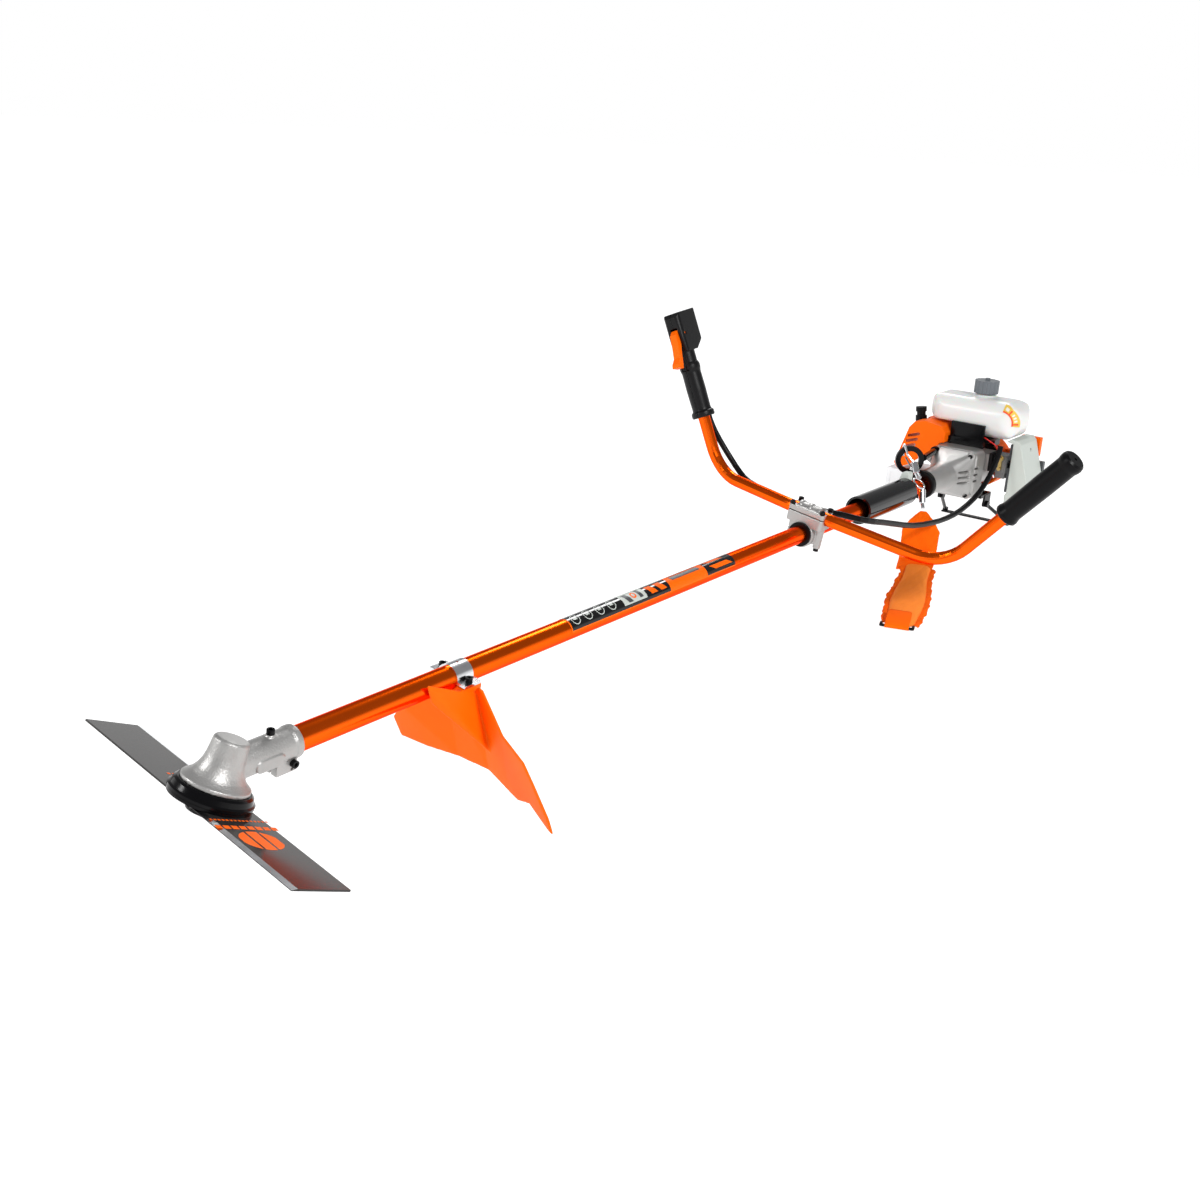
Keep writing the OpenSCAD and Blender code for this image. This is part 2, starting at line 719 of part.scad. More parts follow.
// the webbing hangs from the swivel ring and lies on the ground as it runs forward
strap_at = [389, 38, 8];
strap_yaw = 19.7;
strap_t = 4;
module strap() {
    place() color(orange) translate(strap_at) rotate([0, 0, strap_yaw]) {
        hull() {
            translate([0, -7, 90]) cube([strap_t, 14, 2]);
            translate([0, -32, 50]) cube([strap_t, 64, 2]);
        }
        translate([0, 32, 0]) rotate([90, 0, 0]) linear_extrude(64)
            polygon([[0, 52], [0, 22], [3, 10], [10, 2.5], [20, 0], [58, 0], [58, strap_t],
                [22, strap_t], [14, 6], [8, 12], [strap_t, 24], [strap_t, 52]]);
    }
}

pad_l = 318;
pad_w = 74;
module strap_pad() {
    place() color(orange) translate(strap_at) rotate([0, 0, strap_yaw])
        translate([60 + pad_l / 2, 8, 0]) slab([pad_l, pad_w], 18, 16);
}

// ----------------------------------------------------------------- clutch

drum_r = 7.5;                       // radius of the drum's shaft
drum_out = 38.5;
drum_in = 36;
case_rear = 150;
case_front = 196;
case_w = 90;
case_h = 92;
neck_x = 328;
module clutch_case() {
    place() color(cast) difference() {
        union() {
            on_crank(case_rear) slab([case_h, case_w], 12, case_front - case_rear - 8);
            on_crank(case_front - 9) rotate_extrude()
                polygon([[0, 0], [41, 0], [41, 5], [37, 16], [29, 42], [25, 62], [24, 80],
                    [24, neck_x - case_front - 4], [22, neck_x - case_front + 9],
                    [0, neck_x - case_front + 9]]);
            for (sy = [-1, 1], sz = [-1, 1])
                on_crank(case_rear) translate([sz * 37, sy * 35, 0]) cylinder(r = 8, h = 46);
        }
        on_crank(case_rear - 1) cylinder(r = 41, h = 25);
        on_crank(case_rear) cylinder(r = 39.5, h = 50);
        on_crank(case_rear) cylinder(r = 30, h = 58);
        on_crank(case_rear) cylinder(d = large_od, h = 83);
        on_crank(case_rear) cylinder(r = 12, h = 170);
        on_crank(tube_x0 - 8) cylinder(r = shaft_r, h = 80);
        for (sy = [-1, 1], sz = [-1, 1])
            on_crank(case_rear - 1) translate([sz * 37, sy * 35, 0])
                cylinder(d = screw_d, h = 60);
        // cooling slots on both sides of the fan
        for (s = [-1, 1], z = [-12, 0, 12])
            translate([172, s * 44 - 8, shaft_h + z]) cube([16, 16, 4]);
    }
}

module clutch_drum() {
    place() color(steel) on_crank() difference() {
        union() {
            translate([0, 0, 174]) cylinder(r = drum_out, h = 24);
            translate([0, 0, 190]) cylinder(r = drum_r, h = 72);
        }
        translate([0, 0, 173]) cylinder(r = drum_in, h = 21);
        translate([0, 0, drive_x0]) cylinder(d = drive_d, h = 50);
        for (a = [0 : 60 : 300]) rotate([0, 0, a]) translate([22, 0, 180]) cylinder(r = 4, h = 30);
    }
}

// two centrifugal shoes on their pins, with the tension spring's slot between them
module clutch_shoes() {
    place() color(dark) on_crank(176) for (a = [0, 180]) rotate([0, 0, a]) difference() {
        ring(drum_in - 0.7, 16, 13);
        translate([-50, -50, -1]) cube([100, 53, 20]);
        translate([24, 12, -1]) cylinder(r = 4, h = 20);
        translate([-24, 12, -1]) cylinder(r = 4, h = 20);
    }
}

crank_r = 7.5;
fan_x = 153;
module flywheel() {
    place() color(cast) on_crank(fan_x) difference() {
        union() {
            cylinder(r = 38.5, h = 7);
            cylinder(r = 14, h = 22.6);
            for (a = [0 : 30 : 330]) rotate([0, 0, a]) translate([24, -1.2, 0])
                cube([13.5, 2.4, 17]);
            for (a = [0, 180], s = [-1, 1]) rotate([0, 0, a]) translate([s * 24, 12, 0])
                cylinder(r = 4, h = 33);
        }
        translate([0, 0, -1]) cylinder(r = crank_r, h = 60);
    }
}

// ----------------------------------------------------------------- engine

cyl_x = 120;
web_w = 10;
web_gap = 14;
web_r = 28;
rod_l = 60;
deck = 40;                          // where the cylinder sits on the crankcase
cyl_top = 103;
module crankcase() {
    place() color(cast) difference() {
        union() {
            on_crank(90) cylinder(r = 40, h = 59.8);
            on_cylinder() translate([0, 0, 0]) slab([59, 62], 6, deck);
            translate([98, 20, shaft_h + 4]) cube([46, 30, 32]);
            translate([95, -30, shaft_h - 46]) cube([50, 60, 12]);
        }
        on_crank(102) cylinder(r = web_r + 2, h = 36);
        on_crank(89) cylinder(d = large_od, h = 61);
        on_cylinder() cylinder(r = liner_r, h = 60);
        translate([cyl_x, 20, shaft_h + 20]) rotate([-90, 0, 0]) cylinder(r = 9, h = 40);
    }
}

module crankshaft() {
    place() color(steel) on_crank() {
        translate([0, 0, 52]) cylinder(r = crank_r, h = cyl_x - web_gap / 2 - 52);
        translate([0, 0, cyl_x - web_gap / 2 - web_w]) cylinder(r = web_r, h = web_w);
        translate([0, 0, cyl_x + web_gap / 2]) cylinder(r = web_r, h = web_w);
        translate([0, 0, cyl_x + web_gap / 2]) cylinder(r = crank_r, h = 68 - web_gap / 2);
    }
}

liner_r = 25;
plug_tilt = 38;                     // lean of the spark plug from upright
module on_plug() {
    on_cylinder() translate([0, 0, 92]) rotate([cyl_tilt - 90 + plug_tilt, 0, 0]) children();
}
module cylinder_fin(z) {
    translate([0, 0, z]) slab([59, 66], 10, 2.5);
}
module cylinder_body() {
    translate([0, 0, 33]) cylinder(r = liner_r, h = cyl_top - 34);
    translate([0, 0, deck + 0.2]) slab([58, 60], 6, 6);
    for (z = [52 : 8 : 100]) cylinder_fin(z);
    translate([0, 0, 92]) cylinder(r = 30, h = cyl_top - 92);
}
module cylinder_block() {
    place() color(cast) difference() {
        union() {
            difference() {
                on_cylinder() cylinder_body();
                on_plug() translate([0, 0, 16]) cylinder(r = 15, h = 80);
                on_cylinder() translate([-14, -60, 58]) cube([28, 40, 24]);
            }
            on_plug() cylinder(r = 12, h = 20);
            on_cylinder() translate([-14, -36, 58]) cube([28, 20, 24]);
        }
        on_cylinder() cylinder(r = bore_d / 2, h = 92);
        // the fins stop short of the tank bracket and the cover's inner wall
        translate([60, -37.5, 172]) cube([120, 80, 60]);
        on_cylinder() translate([0, -18, 70]) rotate([90, 0, 0]) cylinder(r = 9, h = 60);
        on_plug() cylinder(r = 7, h = 60);
    }
}

piston_pin = stroke / 2 + rod_l;
module piston() {
    place() color(cast) on_cylinder() difference() {
        translate([0, 0, piston_pin - 14]) cylinder(r = bore_d / 2 - run_gap, h = 28);
        translate([0, 0, piston_pin - 15]) cylinder(r = bore_d / 2 - 4, h = 24);
        for (z = [7, 10]) translate([0, 0, piston_pin + z])
            ring(bore_d, bore_d / 2 - 1.2, 1.2);
    }
    place() color(steel) on_cylinder() translate([-17.5, 0, piston_pin]) rotate([0, 90, 0])
        cylinder(r = 5, h = 35);
}

// the rod with its crank pin; the crank's webs turn clear on each side of it
module connecting_rod() {
    place() color(steel) on_cylinder() {
        translate([-5, 0, stroke / 2]) rotate([0, 90, 0]) ring(12, 8, 10);
        translate([-5, 0, piston_pin]) rotate([0, 90, 0]) ring(8.5, 5, 10);
        translate([-3, -4, stroke / 2 + 11.4]) cube([6, 8, rod_l - 11.4 - 8]);
        translate([-web_gap / 2 + face_gap, 0, stroke / 2]) rotate([0, 90, 0])
            cylinder(r = 8, h = web_gap - 2 * face_gap);
    }
}

module spark_plug() {
    place() color(steel) on_plug() {
        translate([0, 0, 6]) cylinder(r = 7, h = 16);
        translate([0, 0, 20]) cylinder(r = 11, h = 9, $fn = 6);
    }
    place() color("white") on_plug() translate([0, 0, 29]) cylinder(r = 5, h = 12);
    place() color(steel) on_plug() translate([0, 0, 41]) cylinder(r = 3, h = 6);
}

// the rubber cap over the plug turns upright above it
cap_bend = 40;
cap_turn = -31;
module plug_cap() {
    place() color(dark) on_plug() difference() {
        union() {
            translate([0, 0, 30]) cylinder(r = 11, h = cap_bend - 30);
            translate([0, 0, cap_bend]) sphere(r = 11);
            translate([0, 0, cap_bend]) rotate([cap_turn, 0, 0]) {
                cylinder(r = 11, h = 8);
                cylinder(r = 8.5, h = 24);
                translate([0, 0, 16]) cylinder(r = 10.5, h = 9);
            }
        }
        translate([0, 0, 29]) cylinder(r = 5, h = 12);
        translate([0, 0, 29]) cylinder(r = 3, h = 18);
    }
}

// the orange shroud over the cylinder, open below and behind, with slots low in front
cover_x0 = 70;
cover_x1 = 168;
cover_t = 2.5;
// its outline in the Y-Z plane, from the tank round to the outer foot
module cover_outline() {
    polygon([[-33, 178], [-33, 196], [-44, 207], [-76, 213], [-97, 209], [-108, 196], [-131, 122],
        [-124, 112], [-100, 122], [-66, 150]]);
}
module cover_inside() {
    polygon([[-36, 100], [-36, 195], [-45, 204], [-76, 210], [-95.5, 206.5], [-105.5, 195],
        [-130, 112], [-130, 100]]);
}
module extrude_x(x0, x1) {
    translate([x0, 0, 0]) rotate([90, 0, 90]) linear_extrude(x1 - x0) children();
}
module cylinder_cover() {
    place() color(orange) difference() {
        extrude_x(cover_x0, cover_x1) cover_outline();
        extrude_x(cover_x0 - 1, cover_x1 - cover_t) cover_inside();
        on_plug() cylinder(r = 17, h = 90);
        on_crank(case_rear - 1) slab([case_h + 2, case_w + 2], 12, 60);
        for (k = [0:3])
            translate([cover_x1 - 10, -117 + 3.1 * k, 143 + 11 * k]) rotate([18, 0, 0])
                cube([20, 25, 5]);
    }
}

module muffler() {
    place() color("#d4d6d8") {
        difference() {
            translate([76, -146, 62]) cube([86, 62, 46]);
            translate([161, -138, 70]) cube([5, 46, 30]);
        }
        translate([84, -84, 70]) cube([70, 4, 30]);
    }
}

module intake() {
    place() color(dark) difference() {
        union() {
            translate([98, 50, shaft_h + 4]) cube([44, 6, 34]);
            translate([104, 50, shaft_h + 8]) cube([32, 10, 26]);
        }
        translate([cyl_x, 40, shaft_h + 20]) rotate([-90, 0, 0]) cylinder(r = 9, h = 40);
    }
}

carb_z = shaft_h + 20;
module carburettor() {
    place() color(steel) difference() {
        union() {
            translate([104, 60, carb_z - 17]) cube([32, 22, 34]);
            translate([108, 62, carb_z - 28]) cube([24, 18, 12]);
        }
        translate([cyl_x, 50, carb_z]) rotate([-90, 0, 0]) cylinder(r = 9, h = 60);
        translate([125, lever_y, lever_z]) rotate([0, 90, 0]) cylinder(r = 2.5 + run_gap, h = 20);
        translate([100, choke_y, carb_z]) rotate([0, 90, 0]) cylinder(r = 2.5 + run_gap, h = 10);
    }
}

lever_y = 71;
lever_z = carb_z + 11.5;
module throttle_lever() {
    place() color(plated) {
        translate([126, lever_y, lever_z]) rotate([0, 90, 0]) cylinder(r = 2.5, h = 17);
        translate([137, lever_y, lever_z]) rotate([0, 90, 0]) cylinder(r = 6, h = 2);
        translate([137, lever_y - 3, lever_z - 22]) cube([2, 6, 22]);
        translate([136.5, lever_y, lever_z - 20]) rotate([0, 90, 0]) cylinder(r = 3.5, h = 5.5);
    }
}

// ------------------------------------------------------------- air cleaner

filter_x0 = 45;
filter_x1 = 127;
module filter_base() {
    place() color("#4a4c4f") difference() {
        union() {
            translate([filter_x0 - 3, 82, 96]) cube([83, 4, 92]);
            translate([filter_x0 - 10.5, 82, 88]) cube([10.2, 40, 60]);
        }
        translate([cyl_x, 70, carb_z]) rotate([-90, 0, 0]) cylinder(r = 9, h = 40);
    }
}

module filter_cover() {
    place() color("#cfd3cd") difference() {
        extrude_x(filter_x0, filter_x1)
            polygon([[74, 192], [80, 197], [96, 197], [102, 190], [124, 120], [127, 68], [86, 64],
                [84, 90], [87, 94], [87, 190]]);
        extrude_x(filter_x0 - 1, filter_x1 - 3)
            polygon([[88.5, 188], [96, 191], [99, 188], [120.5, 119], [123.5, 71], [88.5, 68]]);
        translate([80, 80, 176]) rotate([-90, 0, 0]) cylinder(r = 3, h = 50);
    }
}

// the choke lever turns on a pin in the carburettor's rear face
choke_y = 68;
choke_l = 24;
module choke_lever() {
    place() color(dark) {
        translate([94, choke_y, carb_z]) rotate([0, 90, 0]) cylinder(r = 2.5, h = 15);
        translate([94, choke_y, carb_z]) rotate([0, 90, 0]) cylinder(r = 5, h = 3);
        translate([94, choke_y - 3, carb_z - choke_l]) cube([3, 6, choke_l]);
        translate([88, choke_y - 4, carb_z - choke_l - 4]) cube([9, 8, 6]);
    }
}

// -------------------------------------------------------------------- tank

tank_z0 = 192;
tank_z1 = 265;
cap_at = [92, 6];
tank_w = 184;
tank_l = 94;
// a shallow right lobe over the cylinder cover and a deep left one beside it, with a
// shallow saddle between them
module fuel_tank() {
    mid_z = (tank_z0 + tank_z1) / 2;
    high = tank_z1 - tank_z0;
    place() color("#f1efe9") difference() {
        union() {
            intersection() {
                extrude_x(cap_at[0] - tank_l / 2, cap_at[0] + tank_l / 2) {
                    translate([-tank_w / 2 + 48, 239]) rounded([96, 49], 24);
                    translate([tank_w / 2 - 63, mid_z]) rounded([126, high], 34);
                }
                translate([cap_at[0], 0, mid_z]) rotate([90, 0, 0])
                    linear_extrude(2 * tank_w, center = true) rounded([tank_l, high], 31);
                translate([cap_at[0], 0, 0]) linear_extrude(2 * tank_z1)
                    rounded([tank_l, tank_w], 38);
            }
            translate([cap_at[0], cap_at[1], tank_z1 - 20]) cylinder(r = 20, h = 26);
        }
        translate([cap_at[0], cap_at[1], tank_z1 - 14]) cylinder(r = 15, h = 40);
    }
}

cap_z = tank_z1 + 6;
module fuel_cap() {
    place() color("#8e9296") translate([cap_at[0], cap_at[1], 0]) {
        difference() {
            translate([0, 0, cap_z + 0.3]) cylinder(r = 23, h = 24);
            for (a = [0 : 20 : 340])
                rotate([0, 0, a]) translate([24.4, 0, cap_z]) cylinder(r = 2.4, h = 30);
            translate([0, 0, cap_z]) ring(20.5, 16, 18);
        }
        translate([0, 0, cap_z - 12]) cylinder(r = 15 - run_gap, h = 20);
        translate([0, 0, cap_z + 24]) cylinder(r = 4.5, h = 4.5);
    }
}

module tank_bracket() {
    place() color(dark) {
        translate([139.5, -32.5, 182]) cube([5, 66.5, 36]);
        translate([139.5, -32.5, 176]) cube([12, 70, 14]);
        translate([52, -32.5, 186]) cube([88, 76, 5.5]);
        for (y = [-32.5, 30]) translate([60, y, 171]) cube([26, 6, 15.5]);
    }
}

// ----------------------------------------------------------------- starter

starter_x0 = 20;
starter_x1 = 66;
pulley_r = 30;
module starter_cover() {
    place() color(orange) difference() {
        union() {
            on_crank(starter_x0) cylinder(r = 50, h = starter_x1 - starter_x0);
            translate([starter_x0 + 8, -30, shaft_h - 2]) cube([12, 110, 32]);
            translate([starter_x0 + 8, 70, shaft_h + 26]) cube([12, 38, 36]);
            translate([starter_x0, -40, shaft_h + 20]) cube([24, 22, 42]);
        }
        on_crank(starter_x0 + 4) cylinder(r = 46, h = 60);
        translate([32, -pulley_r, shaft_h]) cylinder(r = 3, h = 90);
        for (a = [0 : 30 : 330])
            on_crank(starter_x0 - 1) rotate([0, 0, a]) translate([20, -2, 0]) cube([22, 4, 10]);
        translate([starter_x0 - 1, -41, 0]) cube([60, 200, 60]);
    }
    place() color(orange) on_crank(starter_x0 + 3) cylinder(r = 5, h = 24);
}

module starter_pulley() {
    place() color(dark) on_crank(27) difference() {
        cylinder(r = pulley_r + 3, h = 10);
        translate([0, 0, 3]) ring(60, pulley_r - 1, 4);
        translate([0, 0, -1]) cylinder(r = 5 + run_gap, h = 40);
    }
}

module starter_handle() {
    place() color(dark) translate([32, -pulley_r, shaft_h + 62.5]) {
        translate([-7, -22, 0]) cube([14, 44, 12]);
        translate([0, 0, 0]) cylinder(r = 8, h = 16);
    }
}

// ------------------------------------------------------------------- stand

stand_r = 3.5;
foot_w = 12;
foot_t = 3;
foot_y = 71;
module stand() {
    place() color(dark) {
        difference() {
            translate([foot_x - foot_w / 2, -foot_y, foot_z]) cube([foot_w, 2 * foot_y, foot_t]);
            for (s = [-1, 1])
                translate([foot_x, s * 50, foot_z - 1]) cylinder(r = 2.75, h = foot_t + 2);
        }
        for (s = [-1, 1]) {
            translate([foot_x, s * (foot_y - 6), foot_z + 0.5]) cylinder(r = 5.5, h = 9);
            rod([foot_x, s * (foot_y - 6), foot_z + 5], [112, s * 46, 62], 2 * stand_r);
            translate([112, s * 46, 62]) rotate([90, 0, 0])
                cylinder(r = 6.5, h = 11, center = true);
            translate([98, s * 46 - 2, 59]) cube([28, 4, 23]);
        }
        translate([96, -47, 78]) cube([48, 94, 5.8]);
    }
}

// ------------------------------------------------------------------ screws

module cap_screws() {
    place() color(dark) {
        on_shaft(clamp_x) {
            for (sx = [-1, 1], sy = [-1, 1])
                translate([sx * (clamp_w / 2 - 4), sy * (clamp_l / 2 - 5), bar_z + 9])
                    cap_screw(screw_d, 22);
            for (s = [-1, 1])
                translate([0, s * clamp_hole_y, -18]) rotate([180, 0, 0]) cap_screw(screw_d, 22);
        }
        on_shaft(guard_x)
            for (s = [-1, 1]) translate([0, s * guard_ear_y, 1]) cap_screw(screw_d, 14);
        on_arm() translate([pinch_x, ear_half, arm_l - pinch_s]) rotate([-90, 0, 0])
            cap_screw(screw_d, 19);
        on_arm() translate([arm_r + 2, 0, 58]) rotate([0, 90, 0]) cap_screw(screw_d, 4.2);
        for (sy = [-1, 1], sz = [-1, 1])
            on_crank(case_rear + 46 + (sy < 0 && sz < 0 ? 7.1 : 0))
                translate([sz * 37, sy * 35, 0]) cap_screw(screw_d, 40);
    }
}

shaft_tube();
drive_shaft();
shaft_bushes();
gear_case();
pinion();
ball_bearings();
output_gear();
output_shaft();
anti_wrap_ring();
blade_holder();
blade();
blade_washer();
blade_cup();
blade_nut();
guard();
guard_clamp();
handlebar();
clamp_base();
clamp_cap();
clamp_bush();
plain_grip();
throttle_housing();
throttle_housing_lid();
trigger();
trigger_lock();
stop_switch();
throttle_conduit();
shaft_sleeve();
hanger_bracket();
snap_hook();
hook_gate();
strap();
strap_pad();
clutch_case();
clutch_drum();
clutch_shoes();
flywheel();
crankcase();
crankshaft();
cylinder_block();
piston();
connecting_rod();
spark_plug();
plug_cap();
cylinder_cover();
muffler();
intake();
carburettor();
throttle_lever();
choke_lever();
filter_base();
filter_cover();
fuel_tank();
fuel_cap();
tank_bracket();
starter_cover();
starter_pulley();
starter_handle();
stand();
cap_screws();
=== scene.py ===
import json
import math
import bpy
import bmesh
import numpy as np
from mathutils import Vector, Matrix
from mathutils.bvhtree import BVHTree


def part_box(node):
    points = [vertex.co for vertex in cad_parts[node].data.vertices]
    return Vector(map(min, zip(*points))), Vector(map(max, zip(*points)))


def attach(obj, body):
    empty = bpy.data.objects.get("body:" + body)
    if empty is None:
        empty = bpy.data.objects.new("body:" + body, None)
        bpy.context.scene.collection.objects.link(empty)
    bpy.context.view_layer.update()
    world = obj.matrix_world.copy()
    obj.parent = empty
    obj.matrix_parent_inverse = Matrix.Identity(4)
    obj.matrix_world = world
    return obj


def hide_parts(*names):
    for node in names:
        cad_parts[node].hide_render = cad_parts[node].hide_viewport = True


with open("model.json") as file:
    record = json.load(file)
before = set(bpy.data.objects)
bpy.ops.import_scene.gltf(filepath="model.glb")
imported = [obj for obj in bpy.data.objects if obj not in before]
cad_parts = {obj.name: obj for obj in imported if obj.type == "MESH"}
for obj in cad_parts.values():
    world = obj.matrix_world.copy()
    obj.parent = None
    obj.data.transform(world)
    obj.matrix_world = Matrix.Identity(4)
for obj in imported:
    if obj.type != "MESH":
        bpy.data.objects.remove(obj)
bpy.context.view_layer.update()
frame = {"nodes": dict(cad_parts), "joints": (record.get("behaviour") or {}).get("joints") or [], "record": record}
record = frame["record"]
joints = {j["name"]: j for j in frame["joints"]}
body_of = {n: b for b, ns in record["behaviour"]["bodies"].items() for n in ns}
slot_of = {s["node"]: s["material_slot"] for s in record["subparts"]}

# everything is in the row frame, in metres
MM = 0.001
COAT_ROUGH = 0.08
GLOW_DEPTH = 0.01  # how deep light goes into the milky plastics
SHARP_EDGE = math.radians(32)  # edges that turn more than this stay sharp on the CAD meshes
KEPT_FACES = 0.35  # share of a remeshed skin's faces that is kept


# ------------------------------------------------------------------ materials

def material(name, color, rough=0.5, metal=0.0, grain=0.0, grain_scale=400.0, mottle=0.06,
             mottle_scale=12.0, rough_var=0.08, coat=0.0, stretch=(1, 1, 1), spec=0.5,
             subsurface=0.0, bump_mm=0.15):
    """A procedural surface: its colour and gloss drift slowly, and a fine grain lies on top."""
    m = bpy.data.materials.new(name)
    m.use_nodes = True
    nt = m.node_tree
    nodes, links = nt.nodes, nt.links
    bsdf = nodes["Principled BSDF"]
    coord = nodes.new("ShaderNodeTexCoord")
    mapping = nodes.new("ShaderNodeMapping")
    mapping.inputs["Scale"].default_value = stretch
    links.new(coord.outputs["Object"], mapping.inputs["Vector"])
    slow = nodes.new("ShaderNodeTexNoise")
    slow.inputs["Scale"].default_value = mottle_scale
    slow.inputs["Detail"].default_value = 4
    links.new(mapping.outputs["Vector"], slow.inputs["Vector"])
    ramp = nodes.new("ShaderNodeMix")
    ramp.data_type = "RGBA"
    links.new(slow.outputs["Fac"], ramp.inputs["Factor"])
    ramp.inputs["A"].default_value = [v * (1 - 2 * mottle) for v in color] + [1]
    ramp.inputs["B"].default_value = [min(1, v * (1 + 2 * mottle)) for v in color] + [1]
    links.new(ramp.outputs["Result"], bsdf.inputs["Base Color"])
    span = nodes.new("ShaderNodeMapRange")
    span.inputs["To Min"].default_value = max(0.02, rough - rough_var)
    span.inputs["To Max"].default_value = min(1.0, rough + rough_var)
    links.new(slow.outputs["Fac"], span.inputs["Value"])
    links.new(span.outputs["Result"], bsdf.inputs["Roughness"])
    if grain:
        fine = nodes.new("ShaderNodeTexNoise")
        fine.inputs["Scale"].default_value = grain_scale
        fine.inputs["Detail"].default_value = 3
        links.new(mapping.outputs["Vector"], fine.inputs["Vector"])
        relief = nodes.new("ShaderNodeBump")
        relief.inputs["Strength"].default_value = grain
        relief.inputs["Distance"].default_value = bump_mm * MM
        links.new(fine.outputs["Fac"], relief.inputs["Height"])
        links.new(relief.outputs["Normal"], bsdf.inputs["Normal"])
    bsdf.inputs["Metallic"].default_value = metal
    bsdf.inputs["Coat Weight"].default_value = coat
    bsdf.inputs["Coat Roughness"].default_value = COAT_ROUGH
    bsdf.inputs["Specular IOR Level"].default_value = spec
    bsdf.inputs["Subsurface Weight"].default_value = subsurface
    bsdf.inputs["Subsurface Scale"].default_value = GLOW_DEPTH
    return m


MAT = {
    "steel_shaft": material("m_steel", (0.5, 0.5, 0.5), 0.3, 1.0, 0.3, 900, stretch=(1, 6, 6)),
    "orange_paint": material("m_orange_paint", (0.95, 0.115, 0.003), 0.22, 1.0, 0.03, 1500, 0.03,
                             coat=0.06, rough_var=0.04),
    "orange_plastic": material("m_orange_plastic", (1.0, 0.135, 0.001), 0.45, 0.0, 0.25, 900,
                               0.02, spec=0.08, subsurface=0.05),
    "cast_alloy": material("m_cast", (0.42, 0.415, 0.405), 0.42, 0.75, 0.6, 560, 0.08, 30,
                           bump_mm=0.7),
    "grey_alloy": material("m_grey_alloy", (0.2, 0.2, 0.2), 0.45, 0.8, 0.8, 600, 0.1, 40),
    "black_steel": material("m_black_steel", (0.002, 0.002, 0.0025), 0.18, 0.0, 0.1, 900, 0.1,
                            spec=0.16),
    "blade_steel": material("m_blade", (0.026, 0.024, 0.023), 0.13, 0.0, 0.02, 800, 0.12, 9,
                            spec=0.3, rough_var=0.03),
    "zinc_steel": material("m_zinc", (0.72, 0.73, 0.75), 0.22, 1.0, 0.15, 500, 0.08, 40),
    "yellow_zinc": material("m_yellow_zinc", (0.6, 0.46, 0.18), 0.3, 1.0, 0.2, 500, 0.15, 60),
    "silver_heat_paint": material("m_silver", (0.78, 0.79, 0.8), 0.4, 0.4, 0.6, 700, 0.06),
    "black_rubber": material("m_rubber", (0.003, 0.003, 0.0035), 0.36, 0.0, 0.3, 1200, 0.1,
                             spec=0.12),
    "black_plastic": material("m_black_plastic", (0.004, 0.004, 0.0045), 0.38, 0.0, 0.5, 1500,
                              0.1, spec=0.2),
    "black_gloss": material("m_black_gloss", (0.002, 0.002, 0.0025), 0.12, 0.0, 0.03, 900, 0.1,
                            spec=0.45, rough_var=0.03),
    "dark_grey_plastic": material("m_dark_grey", (0.05, 0.055, 0.06), 0.45, 0.0, 0.5, 900),
    "light_grey_plastic": material("m_light_grey", (0.52, 0.56, 0.52), 0.45, 0.0, 0.4, 1100,
                                   0.02),
    "cap_grey": material("m_cap", (0.12, 0.135, 0.15), 0.4, 0.0, 0.4, 900, 0.04),
    "tank_white": material("m_tank", (0.74, 0.74, 0.725), 0.3, 0.0, 0.1, 500, 0.01, 6,
                           subsurface=0.35, rough_var=0.04),
    "plug_metal": material("m_plug", (0.65, 0.65, 0.62), 0.3, 0.8, 0.2, 500),
    "orange_webbing": material("m_webbing", (1.0, 0.13, 0.002), 0.9, 0.0, 0.9, 1200, 0.06, 25,
                               spec=0.08),
}

# the metallic orange keeps its colour in the highlights
MAT["orange_paint"].node_tree.nodes["Principled BSDF"].inputs[
    "Specular Tint"].default_value = (1.0, 0.3, 0.06, 1)

for name, obj in frame["nodes"].items():
    obj.data.materials.clear()
    obj.data.materials.append(MAT[slot_of[name]])
    for poly in obj.data.polygons:
        poly.use_smooth = True
    obj.modifiers.new("edges", "EDGE_SPLIT").split_angle = SHARP_EDGE

# ------------------------------------------------------------- mesh helpers

def link(name, mesh, slot, body, *nodes, smooth=True):
    """Makes a piece from a mesh in the row frame, gives it its slot and lets it ride on a body."""
    o = bpy.data.objects.new(name, mesh)
    bpy.context.scene.collection.objects.link(o)
    if not mesh.materials:
        mesh.materials.append(MAT[slot])
    for poly in mesh.polygons:
        poly.use_smooth = smooth
    if nodes:
        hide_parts(*nodes)
    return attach(o, body)


def cad(node):
    """A CAD node's own surface, as a part to build on."""
    data = frame["nodes"][node].data
    return [tuple(v.co) for v in data.vertices], [tuple(p.vertices) for p in data.polygons]


def hull_part(*balls):
    """The convex skin round some balls, each (point, radius)."""
    bm = bmesh.new()
    for p, r in balls:
        bmesh.ops.create_icosphere(bm, subdivisions=2, radius=r, matrix=Matrix.Translation(p))
    for f in list(bm.faces):
        bm.faces.remove(f)
    for e in list(bm.edges):
        bm.edges.remove(e)
    bmesh.ops.convex_hull(bm, input=bm.verts)
    for v in [v for v in bm.verts if not v.link_faces]:
        bm.verts.remove(v)
    bm.verts.index_update()
    part = [tuple(v.co) for v in bm.verts], [tuple(v.index for v in f.verts) for f in bm.faces]
    bm.free()
    return part


def box_part(low, high):
    """A box between two corners."""
    x0, y0, z0 = low
    x1, y1, z1 = high
    v = [(x, y, z) for x in (x0, x1) for y in (y0, y1) for z in (z0, z1)]
    return v, [(0, 1, 3, 2), (4, 6, 7, 5), (0, 4, 5, 1), (2, 3, 7, 6), (0, 2, 6, 4), (1, 5, 7, 3)]


def moved(part, matrix):
    """A part with its points taken through a matrix."""
    return [tuple(matrix @ Vector(v)) for v in part[0]], part[1]


